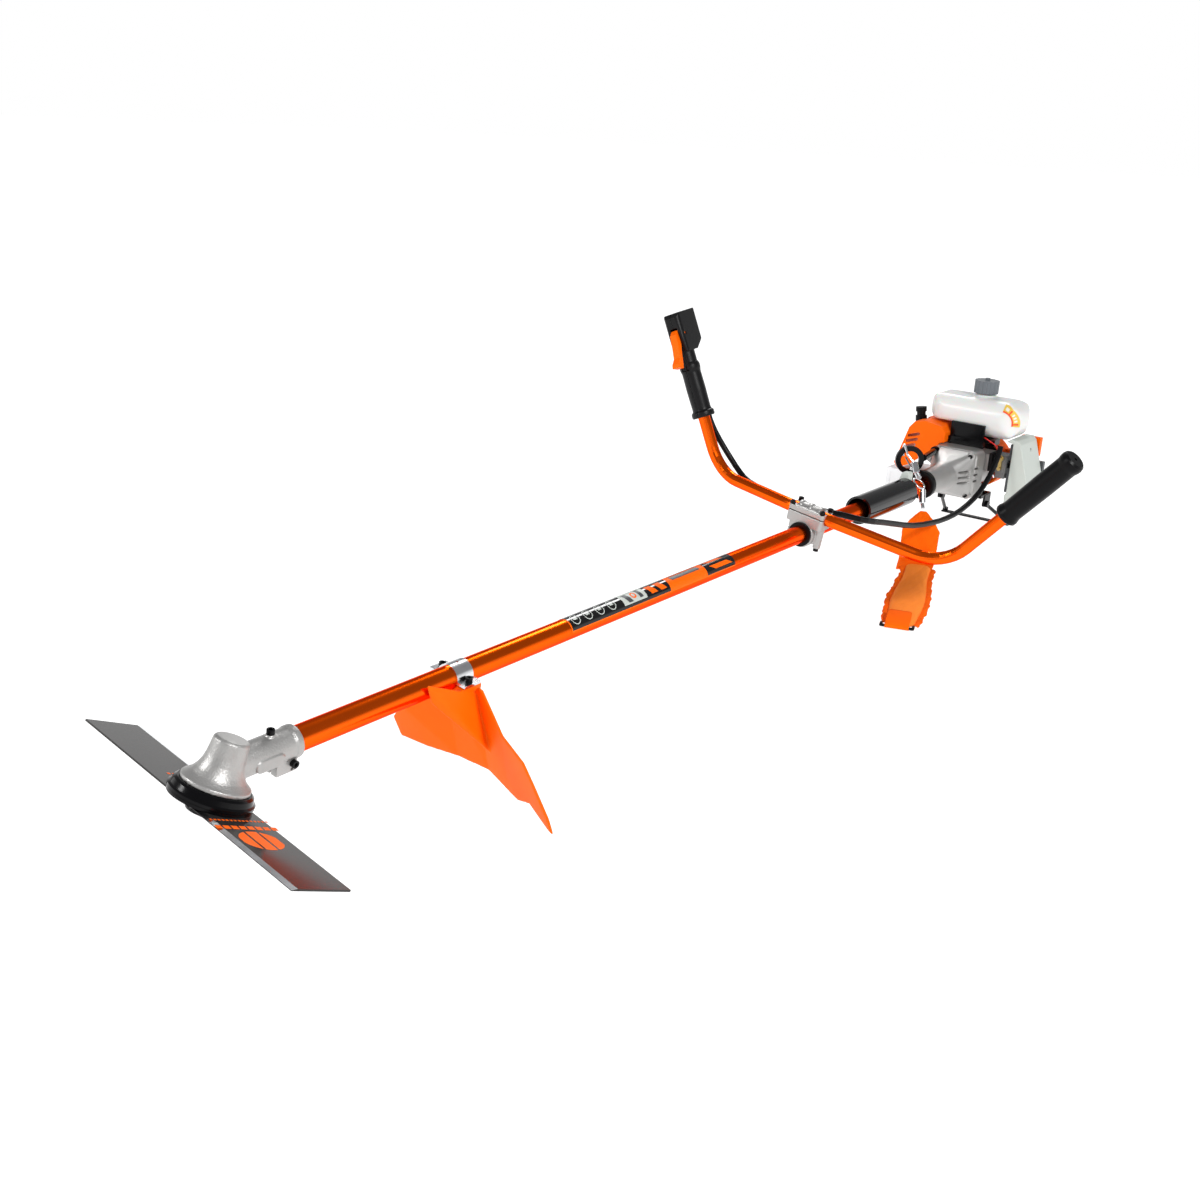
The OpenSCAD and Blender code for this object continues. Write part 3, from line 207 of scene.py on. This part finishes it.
def ring_faces(sides):
    """The faces between two rings of points."""
    return [(k, (k + 1) % sides, sides + (k + 1) % sides, sides + k) for k in range(sides)]


def grid_faces(rows, cols):
    """The faces of a sheet of rows x cols points."""
    return [(i * cols + j, i * cols + j + 1, (i + 1) * cols + j + 1, (i + 1) * cols + j)
            for i in range(rows - 1) for j in range(cols - 1)]


def rod_part(a, b, r, r2=None, sides=24):
    """A round bar from a to b, with radius r2 at b."""
    a, b = Vector(a), Vector(b)
    r2 = r if r2 is None else r2
    q = (b - a).to_track_quat("Z", "Y").to_matrix()
    v = []
    for p, rad in ((a, r), (b, r2)):
        v += [tuple(p + q @ Vector((rad * math.cos(t), rad * math.sin(t), 0)))
              for t in (2 * math.pi * k / sides for k in range(sides))]
    caps = [tuple(range(sides - 1, -1, -1)), tuple(range(sides, 2 * sides))]
    return v, ring_faces(sides) + caps


def tube_part(path, r, sides=16):
    """A bent round bar along a list of points."""
    pts = [Vector(p) for p in path]
    v, f, ref = [], [], None
    for i, p in enumerate(pts):
        t = (pts[min(i + 1, len(pts) - 1)] - pts[max(i - 1, 0)]).normalized()
        if ref is None:
            ref = t.orthogonal().normalized()
        ref = (ref - t * ref.dot(t)).normalized()
        side = t.cross(ref)
        v += [tuple(p + r * (math.cos(a) * ref + math.sin(a) * side))
              for a in (2 * math.pi * k / sides for k in range(sides))]
    for i in range(len(pts) - 1):
        f += [(i * sides + k, i * sides + (k + 1) % sides, (i + 1) * sides + (k + 1) % sides,
               (i + 1) * sides + k) for k in range(sides)]
    f += [tuple(range(sides - 1, -1, -1)), tuple(range((len(pts) - 1) * sides, len(pts) * sides))]
    return v, f


def smooth_path(points, steps=8):
    """A curve through route points, with a number of steps from each to the next."""
    p = [Vector(q) for q in points]
    out = []
    for i in range(len(p) - 1):
        a, b, c, d = p[max(i - 1, 0)], p[i], p[i + 1], p[min(i + 2, len(p) - 1)]
        for k in range(steps):
            t = k / steps
            out.append(0.5 * (2 * b + (c - a) * t + (2 * a - 5 * b + 4 * c - d) * t * t
                              + (3 * b - a - 3 * c + d) * t ** 3))
    return out + [p[-1]]


def join_parts(name, parts):
    """One mesh from several parts, each (points, faces)."""
    v, f = [], []
    for pv, pf in parts:
        f += [tuple(i + len(v) for i in face) for face in pf]
        v += pv
    mesh = bpy.data.meshes.new(name)
    mesh.from_pydata(v, [], f)
    mesh.update()
    return mesh


def worked(mesh, *steps, cuts=()):
    """The mesh after a list of modifiers, and after the cutters have been taken out of it."""
    o = bpy.data.objects.new("work", mesh)
    bpy.context.scene.collection.objects.link(o)
    for kind, values in steps:
        m = o.modifiers.new(kind, kind)
        for k, v in values.items():
            setattr(m, k, v)
    cutters = []
    for part in cuts:
        c = bpy.data.objects.new("cut", join_parts("cut", [part]))
        bpy.context.scene.collection.objects.link(c)
        m = o.modifiers.new("cut", "BOOLEAN")
        m.operation, m.object, m.solver = "DIFFERENCE", c, "EXACT"
        cutters.append(c)
    bpy.context.view_layer.update()
    made = bpy.data.meshes.new_from_object(
        o.evaluated_get(bpy.context.evaluated_depsgraph_get()))
    made.materials.clear()
    for c in [o, *cutters]:
        bpy.data.objects.remove(c)
    return made


def fused(parts, voxel, soften, cuts=()):
    """Overlapping parts grown into one skin with soft inner and outer corners, as a casting
    or a moulding has them."""
    return worked(join_parts("fused", parts),
                  ("REMESH", {"mode": "VOXEL", "voxel_size": voxel}),
                  ("SMOOTH", {"factor": 0.5, "iterations": soften}),
                  ("DECIMATE", {"ratio": KEPT_FACES}), cuts=cuts)


def cast(node, voxel, soften, extra=(), cuts=()):
    """A CAD node shown with the soft corners that a cast or moulded piece has."""
    mesh = fused([cad(node), *extra], voxel, soften, cuts)
    return link("cast_" + node, mesh, slot_of[node], body_of[node], node)


# ------------------------------------------------- castings and moulded pieces

cast("gear_case", 0.0008, 8)
neck_low, neck_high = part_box("clutch_case")
neck_c = Vector((0, (neck_low.y + neck_high.y) / 2, (neck_low.z + neck_high.z) / 2))
case_half = (neck_high.y - neck_low.y) / 2

# the funnel grows from the round neck to the square case: distances back from the neck's end
case_back, corner_r = 0.139, 0.0095
neck_rings, neck_skin = ((0.118, 0.0335), (0.092, 0.0225)), 0.004
funnel = [((neck_high.x - case_back, neck_c.y + sy * (case_half - 0.012),
            neck_c.z + sz * (case_half - 0.011)), corner_r) for sy in (-1, 1) for sz in (-1, 1)]
funnel += [((neck_high.x - x, neck_c.y + r * math.cos(a), neck_c.z + r * math.sin(a)), neck_skin)
           for x, r in neck_rings for a in (math.pi * k / 12 for k in range(24))]

# three air slots in the funnel's left cheek, along the line from slot_a back to slot_b
slot_a, slot_b = Vector((-0.098, 0.0285, 0)), Vector((-0.129, 0.0405, 0))
slot_u = (slot_b - slot_a).normalized()
slot_n = Vector((-slot_u.y, slot_u.x, 0))
slot_top, slot_pitch = 0.011, 0.0105
slot_box = box_part((-0.0155, -0.02, -0.0019), (0.0155, 0.0115, 0.0019))
case_cuts = []
for k in range(3):
    mid = Vector((neck_high.x, neck_c.y, neck_c.z + slot_top - slot_pitch * k))
    mid += (slot_a + slot_b) / 2
    turn = Matrix(((slot_u.x, slot_n.x, 0, mid.x), (slot_u.y, slot_n.y, 0, mid.y),
                   (0, 0, 1, mid.z), (0, 0, 0, 1)))
    case_cuts.append(moved(slot_box, turn))
cast("clutch_case", 0.0010, 12, extra=[hull_part(*funnel)], cuts=case_cuts)
cast("clamp_base", 0.0007, 6)
cast("clamp_cap", 0.0007, 6)
cast("guard", 0.0012, 16)
cast("cylinder_cover", 0.0009, 8)
cast("filter_cover", 0.0009, 8)
cast("throttle_housing", 0.0007, 10)
cast("throttle_housing_lid", 0.0007, 10)
cast("fuel_tank", 0.0020, 26)

# --------------------------------------------------------------------- blade

def axes_matrix(origin, x, y):
    """The matrix of a frame with this origin, X and Y."""
    x, y = Vector(x).normalized(), Vector(y).normalized()
    z = x.cross(y)
    return Matrix(((x.x, y.x, z.x, origin[0]), (x.y, y.y, z.y, origin[1]),
                   (x.z, y.z, z.z, origin[2]), (0, 0, 0, 1)))


# the blade's frame: Z is the blade's axis, X runs along the blade
blade_z = Vector(joints["blade_spin"]["axis"])
head_o = Vector(joints["blade_spin"]["pos_m"])
blade_pts = np.array([tuple(Vector(v) - head_o) for v in cad("blade")[0]])
blade_top = float((blade_pts @ np.array(blade_z)).max())
blade_thick = blade_top - float((blade_pts @ np.array(blade_z)).min())
flat = blade_pts - np.outer(blade_pts @ np.array(blade_z), np.array(blade_z))
blade_u = Vector(np.linalg.svd(flat, full_matrices=False)[2][0])
if blade_u.y < 0:
    blade_u.negate()
BLADE = axes_matrix(head_o + blade_top * blade_z, blade_u, blade_z.cross(blade_u))
half_l = float(abs(flat @ np.array(blade_u)).max())
half_w = float(abs(flat @ np.array(blade_z.cross(blade_u))).max())


def blade_parts():
    """The bar with a ground bevel on its two leading edges, and the bright bevels."""
    drop, bevel, skin = 0.0013, 0.0065, 0.00006
    end_slant = 0.001
    stations = [-1, -0.075, -0.045, 0.045, 0.075, 1]
    v, f = [], []
    for k in stations:
        u = k * (half_l - end_slant)
        near, far = (drop if k > 0.05 else 0), (drop if k < -0.05 else 0)
        row = [(-half_w, -near), (-half_w + bevel, 0), (half_w - bevel, 0), (half_w, -far),
               (half_w, -blade_thick), (-half_w, -blade_thick)]
        v += [(u + end_slant * w / half_w, w, z) for w, z in row]
    n = len(row)
    for i in range(len(stations) - 1):
        f += [(i * n + k, (i + 1) * n + k, (i + 1) * n + (k + 1) % n, i * n + (k + 1) % n)
              for k in range(n)]
    f += [tuple(range(n)), tuple(range(len(v) - 1, len(v) - n - 1, -1))]
    bright = []
    for sign in (1, -1):
        strip = [(sign * u, sign * w, z + skin) for u, w, z in (
            (0.075 * half_l, -half_w, -drop), (half_l - 0.002, -half_w, -drop),
            (half_l - 0.002, -half_w + bevel, 0), (0.06 * half_l, -half_w + bevel, 0))]
        bright.append((strip, [(0, 1, 2, 3)]))
    return moved((v, f), BLADE), [moved(b, BLADE) for b in bright]


blade_body, blade_bevels = blade_parts()
blade_hole_r = 0.0128
hole = rod_part(head_o + (blade_top + 0.01) * blade_z, head_o + (blade_top - 0.02) * blade_z,
                blade_hole_r, sides=48)
link("blade_bar", worked(join_parts("blade_bar", [blade_body]), cuts=[hole]), "blade_steel",
     "blade_rotor", "blade", smooth=False)
link("blade_bevels", join_parts("blade_bevels", blade_bevels), "zinc_steel", "blade_rotor",
     smooth=False)


def flat_print(points):
    """A flat piece of print on the blade, from its outline points (u, w)."""
    lift = 0.00012
    return moved(([(u, w, lift) for u, w in points], [tuple(range(len(points)))]), BLADE)


def oval_band(w0, w1, steps=12):
    """The part of the oval emblem between two lines across the blade."""
    mid_u, half_u, oval_half_w = 0.088, 0.0185, 0.0232
    points = []
    for side in (1, -1):
        for k in range(steps + 1):
            w = w0 + (w1 - w0) * (k if side > 0 else steps - k) / steps
            out = half_u * math.sqrt(max(0, 1 - (w / oval_half_w) ** 2))
            points.append((mid_u + side * out, w))
    return flat_print(points)


def block_row(count, w_first, pitch, wide, u0, u1, slant=0.0):
    """A row of plain blocks across the blade, from u0 to u1 along it; slant leans them."""
    return [flat_print([(u0, w), (u0, w + wide), (u1, w + wide - slant), (u1, w - slant)])
            for w in (w_first + pitch * k for k in range(count))]


# a plain emblem: an oval cut by two straight bands, and rows of blocks beside it
emblem = [oval_band(w0, w1) for w0, w1 in ((-0.0225, -0.0095), (-0.0070, 0.0060),
                                           (0.0085, 0.0215))]
emblem += block_row(8, -0.034, 0.0092, 0.0072, 0.0585, 0.0655, slant=0.0008)
emblem += block_row(15, -0.031, 0.0046, 0.0028, 0.0455, 0.0485)
emblem += block_row(3, -0.014, 0.0060, 0.0034, -0.0560, -0.0530)
link("blade_print", join_parts("blade_print", emblem), "orange_plastic", "blade_rotor",
     smooth=False)

# ------------------------------------------------------------------- harness

def grid_mesh(name, rows, cols, at):
    """A sheet of rows x cols points; at(i, j) gives each point from two shares 0 to 1."""
    v = [tuple(at(i / (rows - 1), j / (cols - 1))) for i in range(rows) for j in range(cols)]
    return join_parts(name, [(v, grid_faces(rows, cols))])


def ripple(a, b, seed):
    """A soft irregular wave between -1 and 1."""
    return (math.sin(a * 3.1 + seed) * math.cos(b * 2.3 - seed * 1.7)
            + 0.6 * math.sin(a * 7.3 + b * 5.1 + seed * 2.1)
            + 0.35 * math.sin(a * 13.7 - b * 11.9 + seed)) / 1.95


# the strap hangs from the hook's swivel to the ground; from there it and the pad lie at an
# angle of yaw to the shaft
strap_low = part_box("strap")[0]
yaw = math.radians(19.7)
along_pad = Vector((math.cos(yaw), math.sin(yaw), 0))
across_pad = Vector((-math.sin(yaw), math.cos(yaw), 0))
strap_back, strap_left = 0.0112, 0.0379
strap_o = Vector((strap_low.x + strap_back, strap_left, 0.0))


def strap_point(s, t):
    """Down from the swivel and forward along the ground: s goes down, t goes across."""
    drop, run, bend = 0.0735, 0.056, 0.018
    hang_x, top_z, bend_z, ground_z = 0.0022, 0.0925, 0.019, 0.0025
    bend_x = 0.0145
    q = 2 * t - 1
    d = s * (drop + bend + run)
    if d < drop:
        x, z = hang_x, top_z - d
    elif d < drop + bend:
        a = (d - drop) / bend * math.pi / 2
        x = hang_x + bend_x * (1 - math.cos(a))
        z = bend_z - (bend_z - ground_z) * math.sin(a)
    else:
        x, z = hang_x + bend_x + d - drop - bend, ground_z
    half = 0.005 + 0.0275 * min(1, d / 0.036) ** 0.85 - 0.0025 * max(0, (d - 0.05) / 0.1)
    fold = 0.0022 * ripple(6 * s, 3 * q, 1.3) * min(1, d / 0.02)
    wing = 0.005 * abs(q) ** 3 * math.sin(min(1, d / 0.06) * math.pi)
    lift = max(0, fold) if d > drop + bend else 0
    if d <= drop + bend:
        x += fold * 0.8 - wing
    return strap_o + along_pad * (x + 0.001) + across_pad * (q * half) + Vector((0, 0, z + lift))


strap_mesh = worked(grid_mesh("strap_sheet", 60, 26, strap_point),
                    ("SOLIDIFY", {"thickness": 0.0028, "offset": 0.0}),
                    ("BEVEL", {"width": 0.0008, "segments": 2}))
link("strap_webbing", strap_mesh, "orange_webbing", "machine", "strap")

pad_len = 0.318
pad_half = 0.0325
pad_o = strap_o + along_pad * 0.060 + across_pad * 0.008


def pad_outline(u):
    """Half the pad's width along it: a little waisted, with round ends."""
    end = min(1, (1 - abs(2 * u - 1)) / 0.12)
    waist = 0.86 + 0.1 * math.cos(2.2 * math.pi * (u - 0.62))
    return pad_half * waist * (1 - (1 - end) ** 2.4 * 0.25)


def pad_point(share_u, share_v, top):
    """A point on the cushion's upper or lower skin, from its shares along and across."""
    q = 2 * share_v - 1
    half = pad_outline(share_u) - 0.004
    edge = max(0, 1 - abs(q) ** 3.5) ** 0.55
    ends = min(1, share_u / 0.05, (1 - share_u) / 0.05) ** 0.5
    wrinkle = 0.0009 * ripple(9 * share_u, 4 * q, 2.0)
    z = 0.0075 + (0.0078 * edge * ends + wrinkle * ends if top else -0.0070 * edge * ends)
    return pad_o + along_pad * (share_u * pad_len) + across_pad * (q * half) + Vector((0, 0, z))


def pad_skin():
    """The closed cushion: its two skins, joined round their rim."""
    rows, cols = 90, 30
    top = grid_mesh("pad_top", rows, cols, lambda a, b: pad_point(a, b, True))
    low = grid_mesh("pad_low", rows, cols, lambda a, b: pad_point(a, b, False))
    bm = bmesh.new()
    bm.from_mesh(top)
    bm.from_mesh(low)
    bmesh.ops.remove_doubles(bm, verts=bm.verts, dist=0.0002)
    bmesh.ops.recalc_face_normals(bm, faces=bm.faces)
    mesh = bpy.data.meshes.new("pad")
    bm.to_mesh(mesh)
    bm.free()
    return mesh


pad_mesh = pad_skin()
pad_mesh.materials.append(material("m_pad_panel", (1.0, 0.25, 0.03), 0.85, 0.0, 0.8, 1500,
                                   0.05, 25, spec=0.1))
pad = link("shoulder_pad", pad_mesh, "orange_webbing", "machine", "strap_pad")


def flange_point(u, t, side):
    """The stitched cloth edge that sticks out round the pad, loose and wavy."""
    half = pad_outline(u) - 0.006 + (0.0105 + 0.0025 * ripple(7 * u, 0.5, side * 1.7)) * t
    wave = 0.0018 * ripple(9 * u, 2 * t, side * 3.0) * t + 0.0012 * ripple(9 * u, 1, side) * t
    return (pad_o + along_pad * (u * pad_len) + across_pad * (side * half)
            + Vector((0, 0, 0.0062 + wave)))


# the webbing that comes out at the pad's end, folded back through a black bar
end_o = pad_o + along_pad * (pad_len - 0.012)
loop_path = [(-0.030, 0.0160), (-0.010, 0.0166), (0.006, 0.0140), (0.018, 0.0098),
             (0.0225, 0.0060), (0.019, 0.0028), (0.004, 0.0022)]
loop_half, loop_shift = 0.0185, 0.004


def loop_point(a, b):
    x, z = loop_path[round(a * (len(loop_path) - 1))]
    return (end_o + along_pad * x + across_pad * (loop_half * (2 * b - 1) - loop_shift)
            + Vector((0, 0, z)))


loop_mesh = worked(grid_mesh("loop", len(loop_path), 6, loop_point), ("SUBSURF", {"levels": 2}),
                   ("SOLIDIFY", {"thickness": 0.0022, "offset": 0.0}))
link("pad_loop", loop_mesh, "orange_webbing", "machine")
bar_half, bar_leg, bar_r = 0.0245, 0.012, 0.0024
bar_mid = end_o + along_pad * 0.0195 - across_pad * loop_shift + Vector((0, 0, 0.0062))
bar_ends = [bar_mid - across_pad * bar_half, bar_mid + across_pad * bar_half]
bar_parts = [rod_part(bar_ends[0], bar_ends[1], bar_r)]
bar_parts += [rod_part(end, end - along_pad * bar_leg, bar_r) for end in bar_ends]
link("pad_end_bar", join_parts("pad_end_bar", bar_parts), "black_plastic", "machine")

for side, label in ((1, "left"), (-1, "right")):
    edge = worked(grid_mesh("edge", 120, 8, lambda a, b: flange_point(0.02 + 0.96 * a, b, side)),
                  ("SOLIDIFY", {"thickness": 0.0014, "offset": 0.0}))
    link("pad_edge_" + label, edge, "orange_webbing", "machine")


# ------------------------------------------------------- label on the shaft

tube_low, tube_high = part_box("shaft_tube")
tube_c = Vector((0, (tube_low.y + tube_high.y) / 2, (tube_low.z + tube_high.z) / 2))
tube_r = (tube_high.y - tube_low.y) / 2
arc_start = 0.0045


def on_tube(x, arc, lift):
    """A point on the tube: arc is the distance round it, upwards from just under its left side."""
    a = (arc - arc_start) / tube_r
    r = tube_r + lift
    return Vector((x, tube_c.y + r * math.cos(a), tube_c.z + r * math.sin(a)))


def tube_patch(x0, x1, a0, a1, lift, slant=0.0):
    """A thin rectangle of film that lies round the tube; slant leans its two ends."""
    rows, cols = 2 + int((x1 - x0) / 0.01), 16
    v = [tuple(on_tube(x0 + (x1 - x0) * i / (rows - 1) + slant * (j / (cols - 1) - 0.5),
                       a0 + (a1 - a0) * j / (cols - 1), lift))
         for i in range(rows) for j in range(cols)]
    return v, grid_faces(rows, cols)


def tube_ring(x, arc, r0, r1, lift, sides=28):
    """A flat ring of film on the tube."""
    v = [tuple(on_tube(x + r * math.cos(t), arc + r * math.sin(t), lift))
         for r in (r0, r1) for t in (2 * math.pi * k / sides for k in range(sides))]
    return v, ring_faces(sides)


# the film is an orange sheet with two black fields; rings, bars and blocks stand for its print
label_x0, label_x1 = 0.950, 1.325
arc0, arc1 = 0.0050, 0.0385
sheet, field, print_1, print_2 = 0.0003, 0.00045, 0.0006, 0.0008
label_black = [tube_patch(1.113, label_x1, arc0 + 0.0018, arc1, field),
               tube_patch(label_x0, 1.022, arc0 + 0.0018, arc1, field)]
label_orange = [tube_patch(label_x0, label_x1 + 0.0022, arc0, arc1 + 0.0015, sheet)]
label_white = [tube_patch(1.166, 1.216, arc0 + 0.006, arc1 - 0.004, print_1)]
for k in range(4):
    x = 1.312 - 0.0245 * k
    label_white.append(tube_ring(x, 0.0200, 0.0066, 0.0078, print_1))
    label_white.append(tube_patch(x - 0.0035, x + 0.0035, 0.0188, 0.0212, print_1, 0.001))
for k in range(2):
    label_orange.append(tube_patch(1.124 + 0.021 * k, 1.137 + 0.021 * k, 0.013, 0.026, print_1,
                                   0.008))
label_orange += [tube_ring(1.19, 0.021, 0.003, 0.0052, print_2),
                 tube_patch(0.962, 1.006, 0.0120, 0.0185, print_1, 0.012),
                 tube_patch(0.975, 1.012, 0.0240, 0.0285, print_1, 0.012)]
label_grey = [tube_patch(1.034, 1.101, 0.0200, 0.0265, print_1, 0.002),
              tube_patch(1.034, 1.101, 0.0290, 0.0305, print_1, 0.002),
              tube_patch(1.174, 1.181, 0.014, 0.028, print_2, 0.002),
              tube_patch(1.199, 1.208, 0.013, 0.027, print_2, 0.006)]
link("label_black", join_parts("label_black", label_black), "black_gloss", "machine")
link("label_orange", join_parts("label_orange", label_orange), "orange_plastic", "machine")
link("label_white", join_parts("label_white", label_white), "light_grey_plastic", "machine")
link("label_grey", join_parts("label_grey", label_grey), "dark_grey_plastic", "machine")

# ----------------------------------------------------- small parts of the engine

# the sticker lies on the tank's front, in an arc round its left shoulder
tank_mesh = bpy.data.objects["cast_fuel_tank"].data
tank_tree = BVHTree.FromPolygons([tuple(v.co) for v in tank_mesh.vertices],
                                 [tuple(p.vertices) for p in tank_mesh.polygons])
tank_low, tank_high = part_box("fuel_tank")
shoulder = Vector((0, tank_high.y - 0.0305, tank_low.z + 0.034))


def on_tank(turn, out, lift):
    """A point on the tank's front, round its left shoulder: turn in degrees, out in metres."""
    a = math.radians(turn)
    start = Vector((tank_high.x + 0.05, shoulder.y + 0.8 * out * math.cos(a),
                    shoulder.z + out * math.sin(a)))
    hit, normal, _, _ = tank_tree.ray_cast(start, Vector((-1, 0, 0)))
    if hit is None:
        hit, normal, _, _ = tank_tree.find_nearest(start)
    return hit + normal * lift


def tank_patch(t0, t1, r0, r1, lift):
    """A piece of the sticker between two turns and two distances from the shoulder."""
    rows, cols = 24, 5
    v = [tuple(on_tank(t0 + (t1 - t0) * i / (rows - 1), r0 + (r1 - r0) * j / (cols - 1), lift))
         for i in range(rows) for j in range(cols)]
    return v, grid_faces(rows, cols)


def sticker(name, parts, color, slot):
    """A piece of thin film with a satin colour of its own."""
    mesh = join_parts(name, parts)
    mesh.materials.append(material("m_" + name, color, 0.35, 0.0, 0.05, 900, 0.02))
    return link(name, mesh, slot, "machine")


sticker("sticker_yellow", [tank_patch(-8, 92, 0.0215, 0.0350, 0.0004)], (0.75, 0.5, 0.06),
        "yellow_zinc")
sticker("sticker_red", [tank_patch(-8, 92, 0.0215, 0.0243, 0.0006),
                        tank_patch(50, 57, 0.0243, 0.0325, 0.0006),
                        tank_patch(-2, 4, 0.0243, 0.0325, 0.0006)], (0.8, 0.06, 0.01),
        "orange_plastic")
sticker("sticker_white", [tank_patch(a, a + 7, 0.0262, 0.0312, 0.0007) for a in (10, 22, 34)]
        + [tank_patch(64, 82, 0.0262, 0.0312, 0.0007)], (0.8, 0.78, 0.7), "tank_white")

# two screws hold the tank bracket's upright plate; each head has a small chamfer
plate_low, plate_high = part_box("tank_bracket")
head_side, head_top = Vector((0.0034, 0, 0)), Vector((0.0039, 0, 0))
foot_r, side_r, top_r = 0.0042, 0.0040, 0.0030
screws = []
for y in (plate_low.y + 0.0065, plate_low.y + 0.0600):
    foot = Vector((plate_high.x - 0.0074, y, plate_low.z + 0.0175))
    screws.append(rod_part(foot, foot + head_side, foot_r, side_r))
    screws.append(rod_part(foot + head_side, foot + head_top, side_r, top_r))
link("bracket_screws", join_parts("bracket_screws", screws), "black_steel", "machine",
     smooth=False)



def neck_rod(x0, x1, r):
    """A round bar along the shaft, from x0 to x1 in front of the neck's end."""
    return rod_part(neck_c + Vector((neck_high.x + x0, 0, 0)),
                    neck_c + Vector((neck_high.x + x1, 0, 0)), r, sides=64)


# a rubber boot closes the gap between the neck and the tube
boot_r, neck_bore_r, tube_bore_r = 0.0262, 0.0242, 0.0143
boot = worked(join_parts("boot", [neck_rod(-0.011, 0.004, boot_r)]),
              ("BEVEL", {"width": 0.0028, "segments": 4, "limit_method": "ANGLE"}),
              cuts=[neck_rod(-0.03, 0.0004, neck_bore_r), neck_rod(-0.03, 0.03, tube_bore_r)])
link("neck_boot", boot, "black_rubber", "machine")

# a white holder sits on the tube just behind the black sleeve
sleeve_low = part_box("shaft_sleeve")[0]
holder_r = 0.0042
holder = [((sleeve_low.x + x, neck_c.y + y, neck_c.z + z), holder_r)
          for x in (-0.0145, -0.0050) for y, z in ((-0.0135, 0.0125), (-0.0080, 0.0290),
                                                   (0.0005, 0.0300), (0.0005, 0.0190))]
link("tube_holder", fused([hull_part(*holder)], 0.0006, 6), "light_grey_plastic", "machine")

# the red stop wire: from under the tank's front edge out to the left and down
wire_top = Vector((tank_high.x - 0.004, 0.041, tank_low.z + 0.0035))
wire_r = 0.0011
wire_route = [(-0.012, -0.030, 0.0005), (0.0, -0.012, 0.0), (0.004, 0.006, -0.006),
              (0.0075, 0.020, -0.012), (0.0105, 0.026, -0.024), (0.012, 0.027, -0.036)]
wire_path = smooth_path([wire_top + Vector(p) for p in wire_route])
wire_mesh = join_parts("stop_wire", [tube_part(wire_path, wire_r, 10)])
wire_mesh.materials.append(material("m_wire", (0.75, 0.01, 0.008), 0.35, 0.0, 0.05, 900, 0.02))
link("stop_wire", wire_mesh, "orange_plastic", "machine")

# --------------------------------------------------------------- starter rope

# a short end of rope that rides with the handle
rope_foot = Vector(joints["starter_handle_pull"]["pos_m"])
rope_r = 0.0015
rope_path = [rope_foot + Vector((0, 0, z)) for z in (-0.055, -0.03, -0.01, 0.004)]
link("starter_rope", join_parts("starter_rope", [tube_part(rope_path, rope_r)]), "black_rubber",
     "starter_handle")

# ------------------------------------------------------------ floor and lights

floor_half = 40
floor_mesh = bpy.data.meshes.new("floor")
floor_mesh.from_pydata([(x * floor_half, y * floor_half, 0)
                        for x, y in ((-1, -1), (1, -1), (1, 1), (-1, 1))], [], [(0, 1, 2, 3)])
floor = bpy.data.objects.new("floor", floor_mesh)
bpy.context.scene.collection.objects.link(floor)

# the floor shines almost as bright as the white round it, so that only faint shadows are left
floor_skin = material("m_floor", (0.3, 0.3, 0.3), 0.9, mottle=0.004)
floor_inputs = floor_skin.node_tree.nodes["Principled BSDF"].inputs
floor_inputs["Emission Color"].default_value = (1, 1, 1, 1)
floor_inputs["Emission Strength"].default_value = 0.96
floor.data.materials.append(floor_skin)

# a studio with white walls and a grey ceiling, so that tubes show a bright band below; both
# heights are the sine of the angle above the horizon
wall_top, ceiling_edge = 0.12, 0.28
world = bpy.data.worlds.new("studio")
bpy.context.scene.world = world
world.use_nodes = True
wn, wl = world.node_tree.nodes, world.node_tree.links
w_coord = wn.new("ShaderNodeTexCoord")
w_split = wn.new("ShaderNodeSeparateXYZ")
w_ramp = wn.new("ShaderNodeValToRGB")
w_ramp.color_ramp.elements[0].position = wall_top
w_ramp.color_ramp.elements[0].color = (1, 1, 1, 1)
w_ramp.color_ramp.elements[1].position = ceiling_edge
w_ramp.color_ramp.elements[1].color = (0.27, 0.27, 0.275, 1)
wl.new(w_coord.outputs["Generated"], w_split.inputs[0])
wl.new(w_split.outputs["Z"], w_ramp.inputs["Fac"])
wl.new(w_ramp.outputs["Color"], wn["Background"].inputs["Color"])
wn["Background"].inputs["Strength"].default_value = 1.0


def area_light(name, pos, aim, size, watts):
    """A round lamp at pos that shines towards aim."""
    light = bpy.data.lights.new(name, "AREA")
    light.shape = "DISK"
    light.size = size
    light.energy = watts
    o = bpy.data.objects.new(name, light)
    bpy.context.scene.collection.objects.link(o)
    o.location = pos
    o.rotation_euler = (Vector(aim) - Vector(pos)).to_track_quat("-Z", "Y").to_euler()


machine_mid = (0.9, 0, 0.1)
area_light("key", (2.0, 2.6, 2.4), machine_mid, 0.8, 90)
area_light("fill", (3.4, -1.6, 1.6), machine_mid, 0.8, 34)
area_light("back", (-1.4, -1.2, 2.2), (0.6, 0, 0.1), 1.0, 30)

# --------------------------------------------------------------------- camera

cam = bpy.data.cameras.new("camera")
cam.sensor_width = 36
cam.lens = 39.91
cam.clip_end = 60
camera = bpy.data.objects.new("camera", cam)
bpy.context.scene.collection.objects.link(camera)
# the photograph's own viewpoint, solved from the shaft, the handlebar and the blade
eye = Vector((2.53446, 0.95422, 0.71683))
right = Vector((-0.61066, 0.79042, 0.04827))
forward = Vector((-0.75466, -0.56239, -0.33793))
up = -forward.cross(right)
camera.matrix_world = Matrix((
    (right.x, up.x, -forward.x, eye.x), (right.y, up.y, -forward.y, eye.y),
    (right.z, up.z, -forward.z, eye.z), (0, 0, 0, 1)))
bpy.context.scene.camera = camera
bpy.context.scene.view_settings.view_transform = "Standard"
